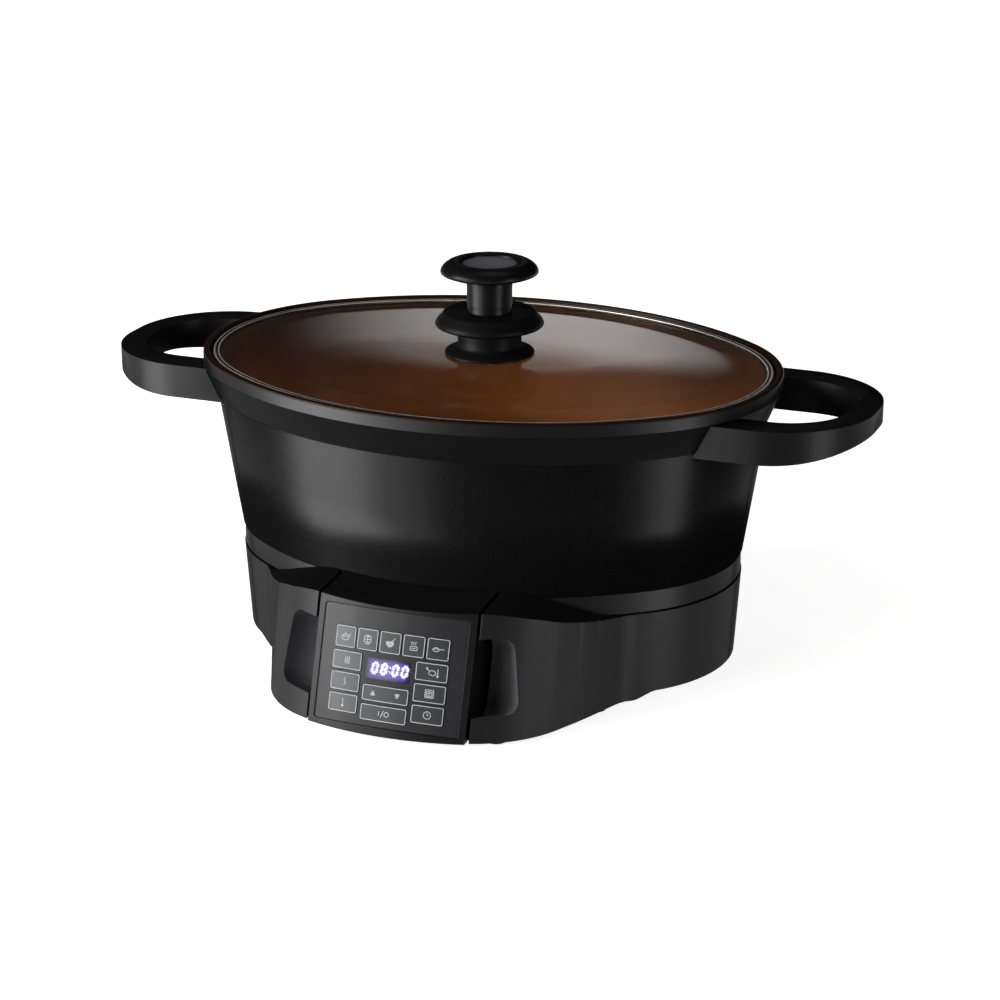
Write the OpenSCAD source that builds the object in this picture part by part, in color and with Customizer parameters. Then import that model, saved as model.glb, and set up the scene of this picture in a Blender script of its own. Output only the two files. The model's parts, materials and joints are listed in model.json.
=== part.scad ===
// Countertop multicooker: oval cast pot with a glass lid, on a heating base with a plug-in control unit.
// X runs along the two handles, the control panel faces -Y, and the feet stand on Z = 0.

/* [Pot] */
// Length of the pot's rim, along the handles
rim_length = 359; // [345:1:370]
// Depth of the pot's rim, front to back
rim_depth = 271; // [263:1:279]
// Radius of the two end arcs of the rim
end_radius = 110; // [107:1:114]
// Height of the pot from the foot of its skirt to its rim
pot_height = 123.8; // [110:0.2:135]
// Height of the rim's upright edge
rim_edge = 7.8; // [6:0.2:9]
// Height of the band that slopes in under the rim
band_height = 18; // [15:0.5:22]
// How far the band slopes in
band_inset = 7.4; // [6:0.2:9]
// How far the foot of the tapered wall lies inside the rim
foot_inset = 21.4; // [19.6:0.2:22]
// Height of the upright skirt round the pot's foot
skirt_height = 12.9; // [9:0.1:16]
// Thickness of the pot's wall
pot_wall = 3.2; // [2.6:0.1:4]
// Thickness of the pot's floor
pot_floor = 4; // [3:0.2:6]
// How far the floor's underside is recessed inside the skirt
floor_recess = 2.8; // [2:0.1:5]

/* [Lid] */
// Width of the pot's lip outside the lid
lip_width = 4.4; // [3.5:0.1:5]
// Gap between the lip and the lid's steel rim
lid_clearance = 1.6; // [1:0.1:2]
// Depth of the lid's seat below the rim
seat_depth = 6.2; // [5.6:0.1:7]
// Thickness of the glass
glass_thickness = 3.2; // [2.6:0.1:4]
// How far the middle of the glass rises above its edge
glass_rise = 3.5; // [2:0.1:8]
// Thickness of the lid's steel rim
rim_sheet = 0.6; // [0.4:0.1:0.8]
// Width of the lid's steel rim
lid_rim_width = 3.8; // [3:0.1:4.5]

/* [Knob] */
// Diameter of the knob's top grip
grip_diameter = 59; // [50:1:66]
// Thickness of the top grip
grip_height = 10.3; // [8:0.1:13]
// Diameter of the dish in the grip's top
dish_diameter = 34; // [26:1:40]
// Height of the neck between collar and grip
neck_height = 20.5; // [16:0.5:26]
// Diameter of the neck under the grip
neck_diameter = 29; // [25:1:32]
// Diameter of the collar
collar_diameter = 65.5; // [56:0.5:72]
// Thickness of the collar
collar_height = 11.5; // [9:0.5:14]
// Diameter of the foot that stands on the glass
foot_diameter = 54; // [46:1:60]
// Height of the foot with its waist
foot_height = 14.5; // [11:0.5:18]

/* [Handles] */
// Length over both handles
handle_span = 480; // [464:1:500]
// Width of a handle across its two arms
handle_width = 128.8; // [118:0.4:136]
// Width of each arm
arm_width = 20.5; // [18:0.5:24]
// Width of the bar at the handle's tip
tip_width = 14.5; // [12:0.5:18]
// Height of the handle at the pot
handle_height = 21; // [17:0.5:23]
// Height of the handle at its tip
tip_height = 15.6; // [13:0.2:18]

/* [Base] */
// Height of the base's two ends above the table
drum_top = 58.2; // [54:0.2:62]
// Gap between the pot's skirt and the base's ends
skirt_gap = 1; // [0.6:0.1:1.6]
// How far the base's ends lie inside the pot's rim at their top
drum_inset = 21.8; // [21.4:0.1:22.6]
// How far the base's ends draw in towards their foot
drum_taper = 3.6; // [1:0.2:6]
// Wall thickness of the base shell
base_wall = 2.8; // [2.2:0.1:3.2]
// Height of the base's lower edge above the table
ground_gap = 2.6; // [2:0.1:4]
// How far the two ends are raised above the lower edge
end_raise = 4.7; // [3:0.1:7]
// Height of the deck beside the pot, above the ends
deck_rise = 17.6; // [12:0.2:20]
// Slope of the deck down to the front, in degrees
deck_slope = 4.3; // [0:0.1:6]
// Radius of the base's front corners in plan
nose_corner = 67; // [60:0.5:74]
// Lean of the base's front, in degrees
front_lean = 16.5; // [12:0.5:20]
// Distance from the pot's axis to the lower edge of the front
front_reach = 166; // [160:1:170]

/* [Control unit] */
// Width of the control unit
unit_width = 97.4; // [92:0.2:102]
// Gap on each side of the control unit
unit_gap = 1.8; // [1:0.1:2.4]
// Lean of the panel, in degrees
panel_lean = 17.6; // [15:0.2:19]
// Radius of the panel's convex face
panel_radius = 180; // [160:5:260]
// How far the foot of the panel stands ahead of the base's front
panel_proud = 5.4; // [2:0.2:8]
// Thickness of the fascia
fascia_thickness = 5; // [4:0.2:6]
// Border of the fascia round the overlay
fascia_border = 4.1; // [3:0.1:5]
// Thickness of the overlay
overlay_thickness = 1.5; // [1.2:0.1:2]
// How far the keys stand above the overlay
key_lift = 0.5; // [0.3:0.1:0.8]
// How far a key travels
key_travel = 0.6; // [0.3:0.1:0.7]
// Radius of the finger scoops beside the unit
scoop_radius = 24; // [18:0.5:26]
// Height of the finger scoops
scoop_height = 44; // [36:1:48]

/* [Heater] */
// Thickness of the hot plate
plate_thickness = 8; // [6:0.5:10]
// Depth of the heat pan under the base's top
pan_depth = 20; // [18.5:0.5:23]
// Diameter of the heating tube
tube_diameter = 7; // [6:0.5:8]
// Diameter of the sensor's cup
cup_diameter = 20; // [16:1:22]
// How far the sensor's cup can be pushed down
cup_travel = 3; // [1:0.5:4]
// Diameter of the rubber feet
pad_diameter = 13; // [10:0.5:15]

/* [Hidden] */
$fn = 96;
KEYS = [
    // name, middle along the panel's width, middle up the panel, width, height
    ["key_top_1", -28.6, 52.4, 13, 12.4],
    ["key_top_2", -14.3, 52.4, 13, 12.4],
    ["key_top_3", 0, 52.4, 13, 12.4],
    ["key_top_4", 14.3, 52.4, 13, 12.4],
    ["key_top_5", 28.6, 52.4, 13, 12.4],
    ["key_left_1", -26.2, 39, 18.8, 10.5],
    ["key_left_2", -26.2, 26.7, 18.8, 10.5],
    ["key_left_3", -26.2, 14.4, 18.8, 10.5],
    ["key_right_1", 26.2, 39, 18.8, 10.5],
    ["key_right_2", 26.2, 26.7, 18.8, 10.5],
    ["key_right_3", 26.2, 14.4, 18.8, 10.5],
    ["key_up_down", 0, 22.6, 28.4, 9.2],
    ["key_power", 0, 11.4, 28.4, 9.2],
];

// The rim's oval: two end arcs and two side arcs that meet smoothly
rim_a = rim_length / 2;
rim_b = rim_depth / 2;
end_c = rim_a - end_radius;
side_radius = (end_c * end_c + rim_b * rim_b - end_radius * end_radius) / (2 * (rim_b - end_radius));
side_c = side_radius - rim_b;
seam = atan2(side_c, end_c);
// The side arcs stop this many degrees short of the seam, and the end arcs run past it under them
lap = 2;
thin_lap = 6;
deep_lap = 14;
// An inset that reaches past the middle of the oval
core = 2 * rim_a;
far = 2 * handle_span;
fit = 0.3;
snug = 0.1;

// Heights, from the table up
skirt_z = drum_top + skirt_gap;
rim_z = skirt_z + pot_height;
skirt_top = skirt_z + skirt_height;
floor_z = skirt_z + floor_recess;
plate_top = floor_z - fit;
plate_z = plate_top - plate_thickness;
band_top = rim_z - rim_edge;
band_z = band_top - band_height;
seat_z = rim_z - seat_depth;
lid_z = seat_z + fit;
glass_z = lid_z + rim_sheet + snug;
glass_edge = glass_z + glass_thickness;
glass_top = glass_edge + glass_rise;
deck_z = drum_top + deck_rise;

// Insets from the rim
wall_step = 1;
skirt_step = 0.9;
wall_inset = band_inset + wall_step;
skirt_inset = foot_inset + skirt_step;
seat_inset = lip_width + lid_clearance + lid_rim_width + 1.8;
lid_inset = lip_width + lid_clearance;
glass_inset = lid_inset + rim_sheet + snug;
deck_inset = foot_inset - 2.1;
pan_inset = skirt_inset + pot_wall + 1;
ledge_inset = drum_inset + 8.7;
sheet = 0.8;

// A value that eases from low to high, and its outline across the base
function ease(t) = t * t * (3 - 2 * t);
function blend(x, from, to) = ease(min(1, max(0, (abs(x) - from) / (to - from))));
function x_at(inset, y) = end_c + sqrt(pow(end_radius - inset, 2) - y * y);
function side_point(inset, angle) =
    [(side_radius - inset) * sin(angle), (side_radius - inset) * cos(angle) - side_c];
function end_point(inset, angle) =
    [end_c + (end_radius - inset) * cos(angle), (end_radius - inset) * sin(angle)];

// Two closed outlines of inset and height, for the end arcs and for the side arcs, carried round the oval
module oval_arcs(ends, sides, past) {
    for (turn = [0, 180])
        rotate(turn) {
            translate([end_c, 0, 0])
                rotate(-seam - past)
                    rotate_extrude(angle = 2 * seam + 2 * past)
                        polygon([for (q = ends) [max(end_radius - q[0], 0), q[1]]]);
            translate([0, -side_c, 0])
                rotate(seam + lap)
                    rotate_extrude(angle = 180 - 2 * seam - 2 * lap)
                        polygon([for (q = sides) [max(side_radius - q[0], side_c - 15), q[1]]]);
        }
}

// One outline carried round the oval as a ring
module oval_ring(p, past = thin_lap) {
    oval_arcs(p, p, past);
}

// The middle of a solid oval, where the arcs' sectors run out to points
module oval_core(z0, z1) {
    box([-end_c - 18, -20, z0], [end_c + 18, 20, z1]);
}

// The outline of a solid oval, run on past its foot and its top
function run_on(foot, top, z0, z1, by) =
    let (slope = (top - foot) / (z1 - z0))
        [[core, z0 - by], [foot - slope * by, z0 - by], [top + slope * by, z1 + by], [core, z1 + by]];

// A solid oval whose edge has the given insets at its foot and its top. The forms it is made of run on
// by different heights, so that no two of their faces lie in one plane, and are cut level together
module oval_block(foot, top, z0, z1) {
    intersection() {
        union() {
            oval_arcs(run_on(foot, top, z0, z1, 1), run_on(foot, top, z0, z1, 2), deep_lap);
            oval_core(z0 - 3, z1 + 3);
        }
        box([-far, -far, z0], [far, far, z1]);
    }
}

module box(from, to) {
    translate(from)
        cube(to - from);
}

module bar(r, z0, z1, at = [0, 0]) {
    translate([at[0], at[1], z0])
        cylinder(r = r, h = z1 - z0);
}

module rounded_square(w, h, r) {
    for (x = [-1, 1], y = [-1, 1])
        translate([x * (w / 2 - r), y * (h / 2 - r)])
            circle(r = r, $fn = 32);
    square([w - 2 * r, h], center = true);
    square([w, h - 2 * r], center = true);
}

// Lid

knob_bore = 3.1;
screw_radius = 3;
foot_z = glass_top;
collar_z = foot_z + foot_height;
neck_z = collar_z + collar_height;
grip_z = neck_z + neck_height;
grip_top = grip_z + grip_height;
waist_radius = 19.2;
washer_height = 2.4;
dish_depth = 1.6;
cap_thickness = 2;

module lid_glass() {
    flat = glass_inset + lid_rim_width + 1;
    crown = 0.7 * glass_rise;
    color("lightsteelblue", 0.45)
        difference() {
            union() {
                oval_ring([[glass_inset, glass_z], [glass_inset, glass_edge], [flat, glass_edge],
                           [45, glass_edge + crown], [80, glass_top], [core, glass_top],
                           [core, glass_top - glass_thickness], [80, glass_top - glass_thickness],
                           [45, glass_z + crown], [flat, glass_z]], deep_lap);
                oval_core(glass_top - glass_thickness, glass_top);
            }
            bar(knob_bore + 1, glass_z - 1, glass_top + 1);
        }
}

module lid_rim() {
    inner = lid_inset + lid_rim_width;
    top = glass_edge + snug + rim_sheet;
    web = lid_inset + rim_sheet;
    color("silver")
        oval_ring([[lid_inset, lid_z], [lid_inset, top], [inner, top], [inner, top - rim_sheet],
                   [web, top - rim_sheet], [web, lid_z + rim_sheet], [inner, lid_z + rim_sheet],
                   [inner, lid_z]]);
}

// A turned piece of the knob, from points of radius and height, with the screw's bore
module turned(p, bore = knob_bore) {
    difference() {
        rotate_extrude()
            polygon(p);
        bar(bore, p[0][1] - 1, grip_top + 1);
    }
}

// Points of a rounded edge, from the foot of a disc to its top
function bulge(r, depth, z0, z1, steps = 10) =
    [for (i = [0:steps]) let (t = -90 + 180 * i / steps)
        [r - depth + depth * cos(t), (z0 + z1) / 2 + (z1 - z0) / 2 * sin(t)]];

module knob_foot() {
    r = foot_diameter / 2;
    edge = 4.2;
    color("#161617")
        turned(concat([[0, foot_z]], bulge(r, 2.6, foot_z, foot_z + edge),
                      [[waist_radius, foot_z + edge + 1.6], [waist_radius, collar_z], [0, collar_z]]));
}

module knob_collar() {
    r = collar_diameter / 2;
    top_r = r - 4.9;
    color("#141415")
        turned(concat([[0, collar_z], [r - 7.5, collar_z]], bulge(r, 5, collar_z + 0.3, neck_z - 2.6),
                      [[top_r, neck_z], [0, neck_z]]));
}

module knob_neck() {
    r = neck_diameter / 2;
    foot = r - 2.3;
    groove = 3.2;
    color("#18181a")
        turned([[0, neck_z], [foot, neck_z], [foot, neck_z + groove], [foot - 0.5, neck_z + groove],
                [foot - 0.5, neck_z + groove + 0.8], [foot + 0.2, neck_z + groove + 0.8],
                [r, grip_z], [0, grip_z]]);
}

module knob_grip() {
    r = grip_diameter / 2;
    dish = dish_diameter / 2;
    seat = grip_top - dish_depth - cap_thickness;
    color("#131314")
        difference() {
            turned(concat([[0, grip_z], [r - 9, grip_z]], bulge(r, 7, grip_z + 0.4, grip_top),
                          [[0, grip_top]]));
            bar(dish, seat, grip_top + 1);
        }
}

module knob_cap() {
    seat = grip_top - dish_depth - cap_thickness;
    color("#1c1c1e")
        bar(dish_diameter / 2 - snug, seat, seat + cap_thickness);
}

module knob_screw() {
    head = glass_top - glass_thickness - washer_height;
    tip = grip_top - dish_depth - cap_thickness - 1;
    color("silver")
        union() {
            bar(screw_radius, head, tip);
            bar(6, head - 3, head);
        }
}

module knob_washer() {
    color("dimgray")
        turned([[0, glass_top - glass_thickness - washer_height], [13, glass_top - glass_thickness - washer_height],
                [14, glass_top - glass_thickness], [0, glass_top - glass_thickness]]);
}

// Pot

lug_width = 9;
lug_height = 10;
lug_y = handle_width / 2 - arm_width / 2;
lug_z = band_z + 3;
lug_reach = 20;
lug_x = x_at(band_inset, lug_y);
handle_screw_radius = 2;
handle_screw_x = lug_x + lug_reach - 7;

module lugs(grow) {
    for (x = [-1, 1], y = [-1, 1])
        on_side(x)
            box([lug_x - 4, y * lug_y - lug_width / 2 - grow, lug_z - grow],
                [lug_x + lug_reach + grow, y * lug_y + lug_width / 2 + grow, lug_z + lug_height + grow]);
}

module on_side(side) {
    if (side < 0)
        mirror([1, 0, 0])
            children();
    else
        children();
}

module pot_shell() {
    inner_top = seat_inset;
    inner_wall = wall_inset + pot_wall;
    inner_foot = foot_inset + pot_wall;
    floor_top = floor_z + pot_floor;
    floor_edge = skirt_inset + pot_wall / 2;
    curve = 10;
    rise = floor_top + curve;
    color("#1a1a1b")
        difference() {
            union() {
                oval_ring([[skirt_inset, skirt_z], [skirt_inset, skirt_top - 1], [foot_inset, skirt_top],
                           [wall_inset, band_z - 1], [band_inset, band_z], [0, band_top],
                           [0, rim_z - 1], [1, rim_z], [lip_width - 0.6, rim_z], [lip_width, rim_z - 0.6],
                           [lip_width, seat_z], [inner_top, seat_z],
                           [max(inner_top + 0.4, inner_wall), band_z - 4],
                           [inner_foot, rise], [inner_foot + 0.29 * curve, rise - 0.71 * curve],
                           [inner_foot + 1.3 * curve, floor_top - 0.12 * curve],
                           [inner_foot + 1.3 * curve, floor_z + 1],
                           [skirt_inset + pot_wall, floor_z + 1], [skirt_inset + pot_wall, skirt_z]]);
                oval_block(floor_edge, floor_edge, floor_z, floor_top);
                lugs(0);
            }
            for (x = [-1, 1], y = [-1, 1])
                bar(handle_screw_radius + snug, lug_z - 1, lug_z + lug_height + 1,
                    [x * handle_screw_x, y * lug_y]);
        }
}

// The pot's outer form, let out by a clearance, for what is fitted round it
module pot_outside(out) {
    oval_ring([[core, skirt_z], [foot_inset - out, skirt_top], [wall_inset - out, band_z - 1],
               [band_inset - out, band_z], [-out, band_top], [-out, rim_z], [core, rim_z]], deep_lap);
    oval_core(skirt_z, rim_z);
}

// Handles

handle_top = band_top - 0.4;
handle_tip = handle_span / 2;
bend = handle_width / 2 - 5.9;
opening = handle_width / 2 - arm_width;
inner_bend = opening - 4.9;

module handle_plan() {
    outer_x = handle_tip - bend;
    inner_x = handle_tip - tip_width - inner_bend;
    difference() {
        union() {
            for (y = [-1, 1])
                translate([outer_x, y * (handle_width / 2 - bend)])
                    circle(r = bend);
            translate([outer_x, bend - handle_width / 2])
                square([bend, handle_width - 2 * bend]);
            translate([end_c, -handle_width / 2])
                square([outer_x - end_c, handle_width]);
        }
        for (y = [-1, 1])
            translate([inner_x, y * (opening - inner_bend)])
                circle(r = inner_bend);
        translate([inner_x, inner_bend - opening])
            square([inner_bend, 2 * (opening - inner_bend)]);
        square([2 * inner_x, 2 * opening], center = true);
    }
}

module handle() {
    root_x = x_at(band_inset, lug_y);
    slope = atan2(handle_height - tip_height, handle_tip - root_x);
    head_radius = 4;
    difference() {
        translate([0, 0, handle_top - handle_height - 1])
            linear_extrude(handle_height + 1)
                handle_plan();
        translate([root_x, 0, handle_top - handle_height])
            rotate([0, -slope, 0])
                box([-100, -far, -50], [200, far, 0]);
        pot_outside(fit);
        lugs(fit);
        for (y = [-1, 1]) {
            bar(handle_screw_radius + snug, 0, lug_z + 1, [handle_screw_x, y * lug_y]);
            bar(head_radius, 0, lug_z - 4, [handle_screw_x, y * lug_y]);
        }
    }
}

module handle_right() {
    color("#1d1d1f")
        handle();
}

module handle_left() {
    color("#1d1d1f")
        mirror([1, 0, 0])
            handle();
}

module handle_screws() {
    color("silver")
        for (x = [-1, 1], y = [-1, 1]) {
            bar(handle_screw_radius, lug_z - 4, lug_z + lug_height, [x * handle_screw_x, y * lug_y]);
            bar(3.6, lug_z - 6.4, lug_z - 4, [x * handle_screw_x, y * lug_y]);
        }
}

// Base

shoulder_from = 49;
shoulder_to = 132;
shoulder_drop = deck_rise + 5.4;
raise_from = 117;
raise_to = 129;
nose_x = 29.5;
nose_y = front_reach - nose_corner;
nose_turn = 65;
nose_steps = 20;
side_steps = 6;
valley_steps = 8;
valley_radius = 30;
// The front's lean fades out between these distances from the middle, and the drum's taper fades in
lean_from = 78;
lean_to = 112;
taper_from = 95;
taper_to = 119;
// The valley's end lies this much inside the drum, so that the two cross
valley_sink = 0.6;
rear_x = 46;
rear_y = 60;
rear_corner = 66.5;
// The straight back lies this much inside the corner arcs it runs into
nick = 0.03;
bay_half = unit_width / 2 + unit_gap;
bay_floor = 2.6;
deck_edge = rim_b - deck_inset;
panel_reach = front_reach + panel_proud;

function drum_at(z) = drum_inset + drum_taper * (drum_top - z) / (drum_top - ground_gap);
function lower_edge(x) = ground_gap + end_raise * blend(x, raise_from, raise_to);

// The span of the base's outline across X, with a point wherever the shoulders or the raised ends curve
function across(from, to, steps = 12) =
    concat([-far], [for (i = [steps:-1:0]) -from - (to - from) * i / steps],
           [for (i = [0:steps]) from + (to - from) * i / steps], [far]);

module drum(off, z0, z1) {
    oval_block(drum_at(z0) + off, drum_at(z1) + off, z0, z1);
}

// Where the front nose's corner ends: its outward way, its way on along the side, and the point
corner_out = [sin(nose_turn), -cos(nose_turn)];
corner_on = [cos(nose_turn), sin(nose_turn)];
corner_end = [nose_x, -nose_y] + nose_corner * corner_out;

// The valley between nose and drum turns about a point that keeps its radius from the side and from the drum
drum_middle = [0, side_c];
valley_reach = side_radius - drum_inset - valley_sink + valley_radius;
to_valley = corner_end + valley_radius * corner_out - drum_middle;
on_side_line = to_valley * corner_on;
side_length = -on_side_line - sqrt(pow(on_side_line, 2) - to_valley * to_valley + pow(valley_reach, 2));
valley_middle = drum_middle + to_valley + side_length * corner_on;
valley_from = 90 + nose_turn;
valley_to = 180 + atan2(valley_middle[1] - side_c, valley_middle[0]);

function turned_to(a) = [cos(a), sin(a)];

// One half of the front nose's outline on the table: round the corner, along the side, through the valley
function nose_half(off) =
    let (r = nose_corner - off)
        concat([for (i = [0:nose_steps]) [nose_x, -nose_y] + r * turned_to(nose_turn * i / nose_steps - 90)],
               [for (i = [1:side_steps])
                    corner_end - off * corner_out + side_length * i / side_steps * corner_on],
               [for (i = [1:valley_steps])
                    valley_middle + (valley_radius + off)
                        * turned_to(valley_from + (valley_to - valley_from) * i / valley_steps)],
               [valley_middle + (valley_radius + 20) * turned_to(valley_to)]);

// A point of that outline at a height: the front leans back, and beside the drum the wall draws in with it
function leaned(p, z) =
    let (from_middle = p - drum_middle,
         drawn_in = drum_taper * (drum_top - z) / (drum_top - ground_gap) * blend(p[0], taper_from, taper_to),
         back = (z - ground_gap) * tan(front_lean) * (1 - blend(p[0], lean_from, lean_to)),
         q = p - drawn_in * from_middle / norm(from_middle))
        [q[0], q[1] + back, z];

function deck_drop(x) = shoulder_drop * blend(x, shoulder_from, shoulder_to);

// The space under the deck, whose shoulders drop to the base's two ends
module under_deck(off) {
    xs = across(shoulder_from, shoulder_to);
    translate([0, -deck_edge, deck_z - off])
        rotate([deck_slope, 0, 0])
            rotate([90, 0, 0])
                linear_extrude(far, center = true)
                    polygon(concat([for (x = xs) [x, -deck_drop(x)]], [[far, -far], [-far, -far]]));
}

// The front nose: its front leans, its sides stand upright, and the corners turn from one to the other
module front_nose(off) {
    half = nose_half(off);
    n = len(half);
    outline = concat([for (i = [n - 1:-1:0]) [-half[i][0], half[i][1]]], half);
    foot = [for (p = outline) leaned(p, ground_gap - 1.2)];
    head = [for (p = outline) leaned(p, deck_z + 10)];
    intersection() {
        polyhedron(concat(foot, head),
                   concat([[for (i = [0:2 * n - 1]) i], [for (i = [2 * n - 1:-1:0]) i + 2 * n]],
                          [for (i = [0:2 * n - 1]) let (j = (i + 1) % (2 * n)) [i, i + 2 * n, j + 2 * n]],
                          [for (i = [0:2 * n - 1]) let (j = (i + 1) % (2 * n)) [i, j + 2 * n, j]]));
        under_deck(off);
    }
}

module rear_nose(off) {
    r = rear_corner - off;
    mirror([0, 1, 0])
        intersection() {
            translate([0, 0, ground_gap - 1.2])
                linear_extrude(far) {
                    for (x = [-rear_x, rear_x])
                        translate([x, -rear_y])
                            circle(r = r);
                    translate([-rear_x, nick - rear_y - r])
                        square([2 * rear_x, r]);
                }
            under_deck(off);
        }
}

module above_lower_edge(off) {
    xs = across(raise_from, raise_to);
    rotate([90, 0, 0])
        linear_extrude(far, center = true)
            polygon(concat([for (x = xs) [x, lower_edge(x) + off]], [[far, far], [-far, far]]));
}

// The base's whole form drawn in by an offset; what is cut from it gives its lower edge and its top
module base_form(off) {
    drum(off, -5, drum_top + 3);
    front_nose(off);
    rear_nose(off);
}

// The bay for the control unit, in front of the drum: its floor stops short of the fascia
module bay(grow, floor_z = ground_gap + bay_floor, lip_y = 8 - front_reach) {
    difference() {
        rotate([90, 0, 90])
            linear_extrude(2 * (bay_half + grow), center = true)
                polygon([[-far, -20], [lip_y, -20], [lip_y, floor_z - grow], [0, floor_z - grow],
                         [0, rim_z], [-far, rim_z]]);
        drum(grow, -25, drum_top + 15);
    }
}

scoop_lean = 11;
scoop_round = 8;

// A finger scoop: a round recess that opens the side of the bay
module scoop(grow) {
    r = scoop_radius + grow;
    round = scoop_round + grow;
    h = scoop_height / 2 + grow;
    for (side = [-1, 1])
        translate([side * bay_half, -front_reach, ground_gap])
            rotate([-front_lean, 0, 0])
                translate([0, 3, 38])
                    rotate([0, -side * scoop_lean, 0])
                        rotate_extrude()
                            difference() {
                                translate([0, -h])
                                    square([r, 2 * h]);
                                for (z = [-1, 1])
                                    difference() {
                                        translate([r - round, z * (h - round / 2) - round / 2])
                                            square([round + 1, round]);
                                        translate([r - round, z * (h - round)])
                                            circle(r = round);
                                    }
                            }
}

boss_radius = 4.5;
cover_thickness = 2.2;
cover_recess = 0.8;
cover_screw_radius = 1.75;
cover_head = 3.2;
boss_inset = drum_inset + drum_taper + base_wall + cover_head + 2 * snug;
boss_top = 30;
rear_boss = side_point(drum_inset + 3.7, 18);
// Middle of each cover boss, and the height it reaches
BOSSES = concat([for (x = [-1, 1], a = [-30, 30])
                     let (p = end_point(boss_inset, a)) [x * p[0], p[1], boss_top]],
                [for (x = [-1, 1]) [x * 70, -deck_edge - 2, deck_z]],
                [for (x = [-1, 1]) [x * rear_boss[0], rear_boss[1], drum_top - base_wall / 2]]);
PADS = concat([for (x = [-1, 1]) [x * 60.8, -145.8]], [for (x = [-1, 1]) [x * 98.4, -82.8]],
              [for (x = [-1, 1]) [x * 74, 92]]);
gland_x = 48;
gland_z = 24;
gland_radius = 6.5;
socket_z = 29;
// The socket's front, just inside the wall behind the bay
socket_y = drum_at(socket_z) + base_wall + 1 - rim_b;

function cover_z(at) = lower_edge(at[0]) + cover_recess;

module base_shell() {
    gland_y = rear_y + rear_corner;
    color("#18181a")
        difference() {
            union() {
                difference() {
                    intersection() {
                        base_form(0);
                        above_lower_edge(0);
                    }
                    oval_block(deck_inset, deck_inset, drum_top, rim_z);
                    difference() {
                        base_form(base_wall);
                        oval_block(deck_inset - base_wall, deck_inset - base_wall, drum_top - base_wall, rim_z);
                        bay(base_wall, -10);
                        scoop(base_wall);
                    }
                }
                intersection() {
                    for (b = BOSSES)
                        bar(boss_radius, cover_z(b) + cover_thickness, b[2], b);
                    under_deck(base_wall / 2);
                }
            }
            bay(0);
            scoop(0);
            oval_block(ledge_inset, ledge_inset, drum_top - 2 * base_wall, rim_z);
            box([-14, -rim_b, socket_z - 5], [14, socket_y + 3, socket_z + 5]);
            for (b = BOSSES)
                bar(cover_screw_radius - snug, 0, boss_top - 4, b);
            translate([gland_x, gland_y - 30, gland_z])
                rotate([-90, 0, 0])
                    cylinder(r = gland_radius, h = 60);
        }
}

module bottom_cover() {
    vents = 7;
    vent_pitch = 11;
    off = base_wall + fit;
    color("#151516")
        difference() {
            union() {
                intersection() {
                    base_form(off);
                    difference() {
                        above_lower_edge(cover_recess);
                        above_lower_edge(cover_recess + cover_thickness);
                    }
                }
                for (p = STANDOFFS)
                    bar(3.5, ground_gap + cover_recess, board_z, p);
            }
            bay(base_wall + fit, -10);
            scoop(base_wall + fit);
            for (b = BOSSES)
                bar(cover_screw_radius + fit, 0, boss_top, b);
            for (i = [0:vents - 1], y = [-1, 1])
                translate([(i - (vents - 1) / 2) * vent_pitch, y * 62, 0])
                    linear_extrude(20)
                        rounded_square(5, 34, 2.4);
            for (p = STANDOFFS)
                bar(1.2, board_z - 5, board_z + 1, p);
        }
}

module rubber_feet() {
    color("#0f0f10")
        for (p = PADS)
            difference() {
                bar(pad_diameter / 2, 0, cover_z(p), p);
                bar(1.5, -1, 1, p);
            }
}

module cover_screws() {
    color("silver")
        for (b = BOSSES) {
            bar(cover_screw_radius - 2 * snug, cover_z(b), boss_top - 5, b);
            bar(cover_head, cover_z(b) - 1.5, cover_z(b), b);
        }
}

// Heater

pan_z = drum_top - pan_depth;
pan_wall = ledge_inset + 0.7;
plate_inset = pan_wall + sheet + 1.6;
element_inset = 60;
spacer = [80, 32];
spacer_radius = 5;
plate_hole = cup_diameter / 2 + 3;
guide_wall = 1.5;
guide_inner = cup_diameter / 2 + 0.4;
guide_outer = guide_inner + guide_wall;
guide_z = pan_z - 5;
cup_wall = 1.4;
wire_radius = 0.6;
coil_radius = cup_diameter / 2 - cup_wall - wire_radius - 0.8;
coil_turns = 5;
pin_x = 9;

module heat_pan() {
    color("gainsboro")
        difference() {
            union() {
                oval_block(pan_inset, pan_inset, drum_top, drum_top + sheet);
                oval_block(pan_wall, pan_wall, pan_z, drum_top + sheet / 2);
            }
            oval_block(pan_wall + sheet, pan_wall + sheet, pan_z + sheet, rim_z);
            bar(guide_outer + snug, pan_z - 1, pan_z + 2);
            for (x = [-1, 1], y = [-1, 1])
                bar(2.1, pan_z - 1, pan_z + 2, [x * spacer[0], y * spacer[1]]);
            for (x = [-1, 1])
                bar(4, pan_z - 1, pan_z + 2, [x * pin_x, rim_b - element_inset]);
        }
}

module hot_plate() {
    color("#8d8f92")
        difference() {
            oval_block(plate_inset, plate_inset, plate_z, plate_top);
            bar(plate_hole, plate_z - 1, plate_top + 1);
            for (x = [-1, 1], y = [-1, 1])
                bar(1.7, plate_z - 1, plate_top - 2.5, [x * spacer[0], y * spacer[1]]);
        }
}

module heating_element() {
    r = tube_diameter / 2;
    y = rim_b - element_inset;
    z = plate_z - r - snug;
    color("#5d5f62")
        union() {
            difference() {
                oval_ring([for (i = [0:15]) [element_inset + r * cos(22.5 * i), z + r * sin(22.5 * i)]], thin_lap + lap);
                box([-pin_x, 0, z - 2 * r], [pin_x, far, z + 2 * r]);
            }
            for (x = [-1, 1])
                bar(2.6, pan_z - 6, z, [x * pin_x, y]);
        }
}

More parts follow.
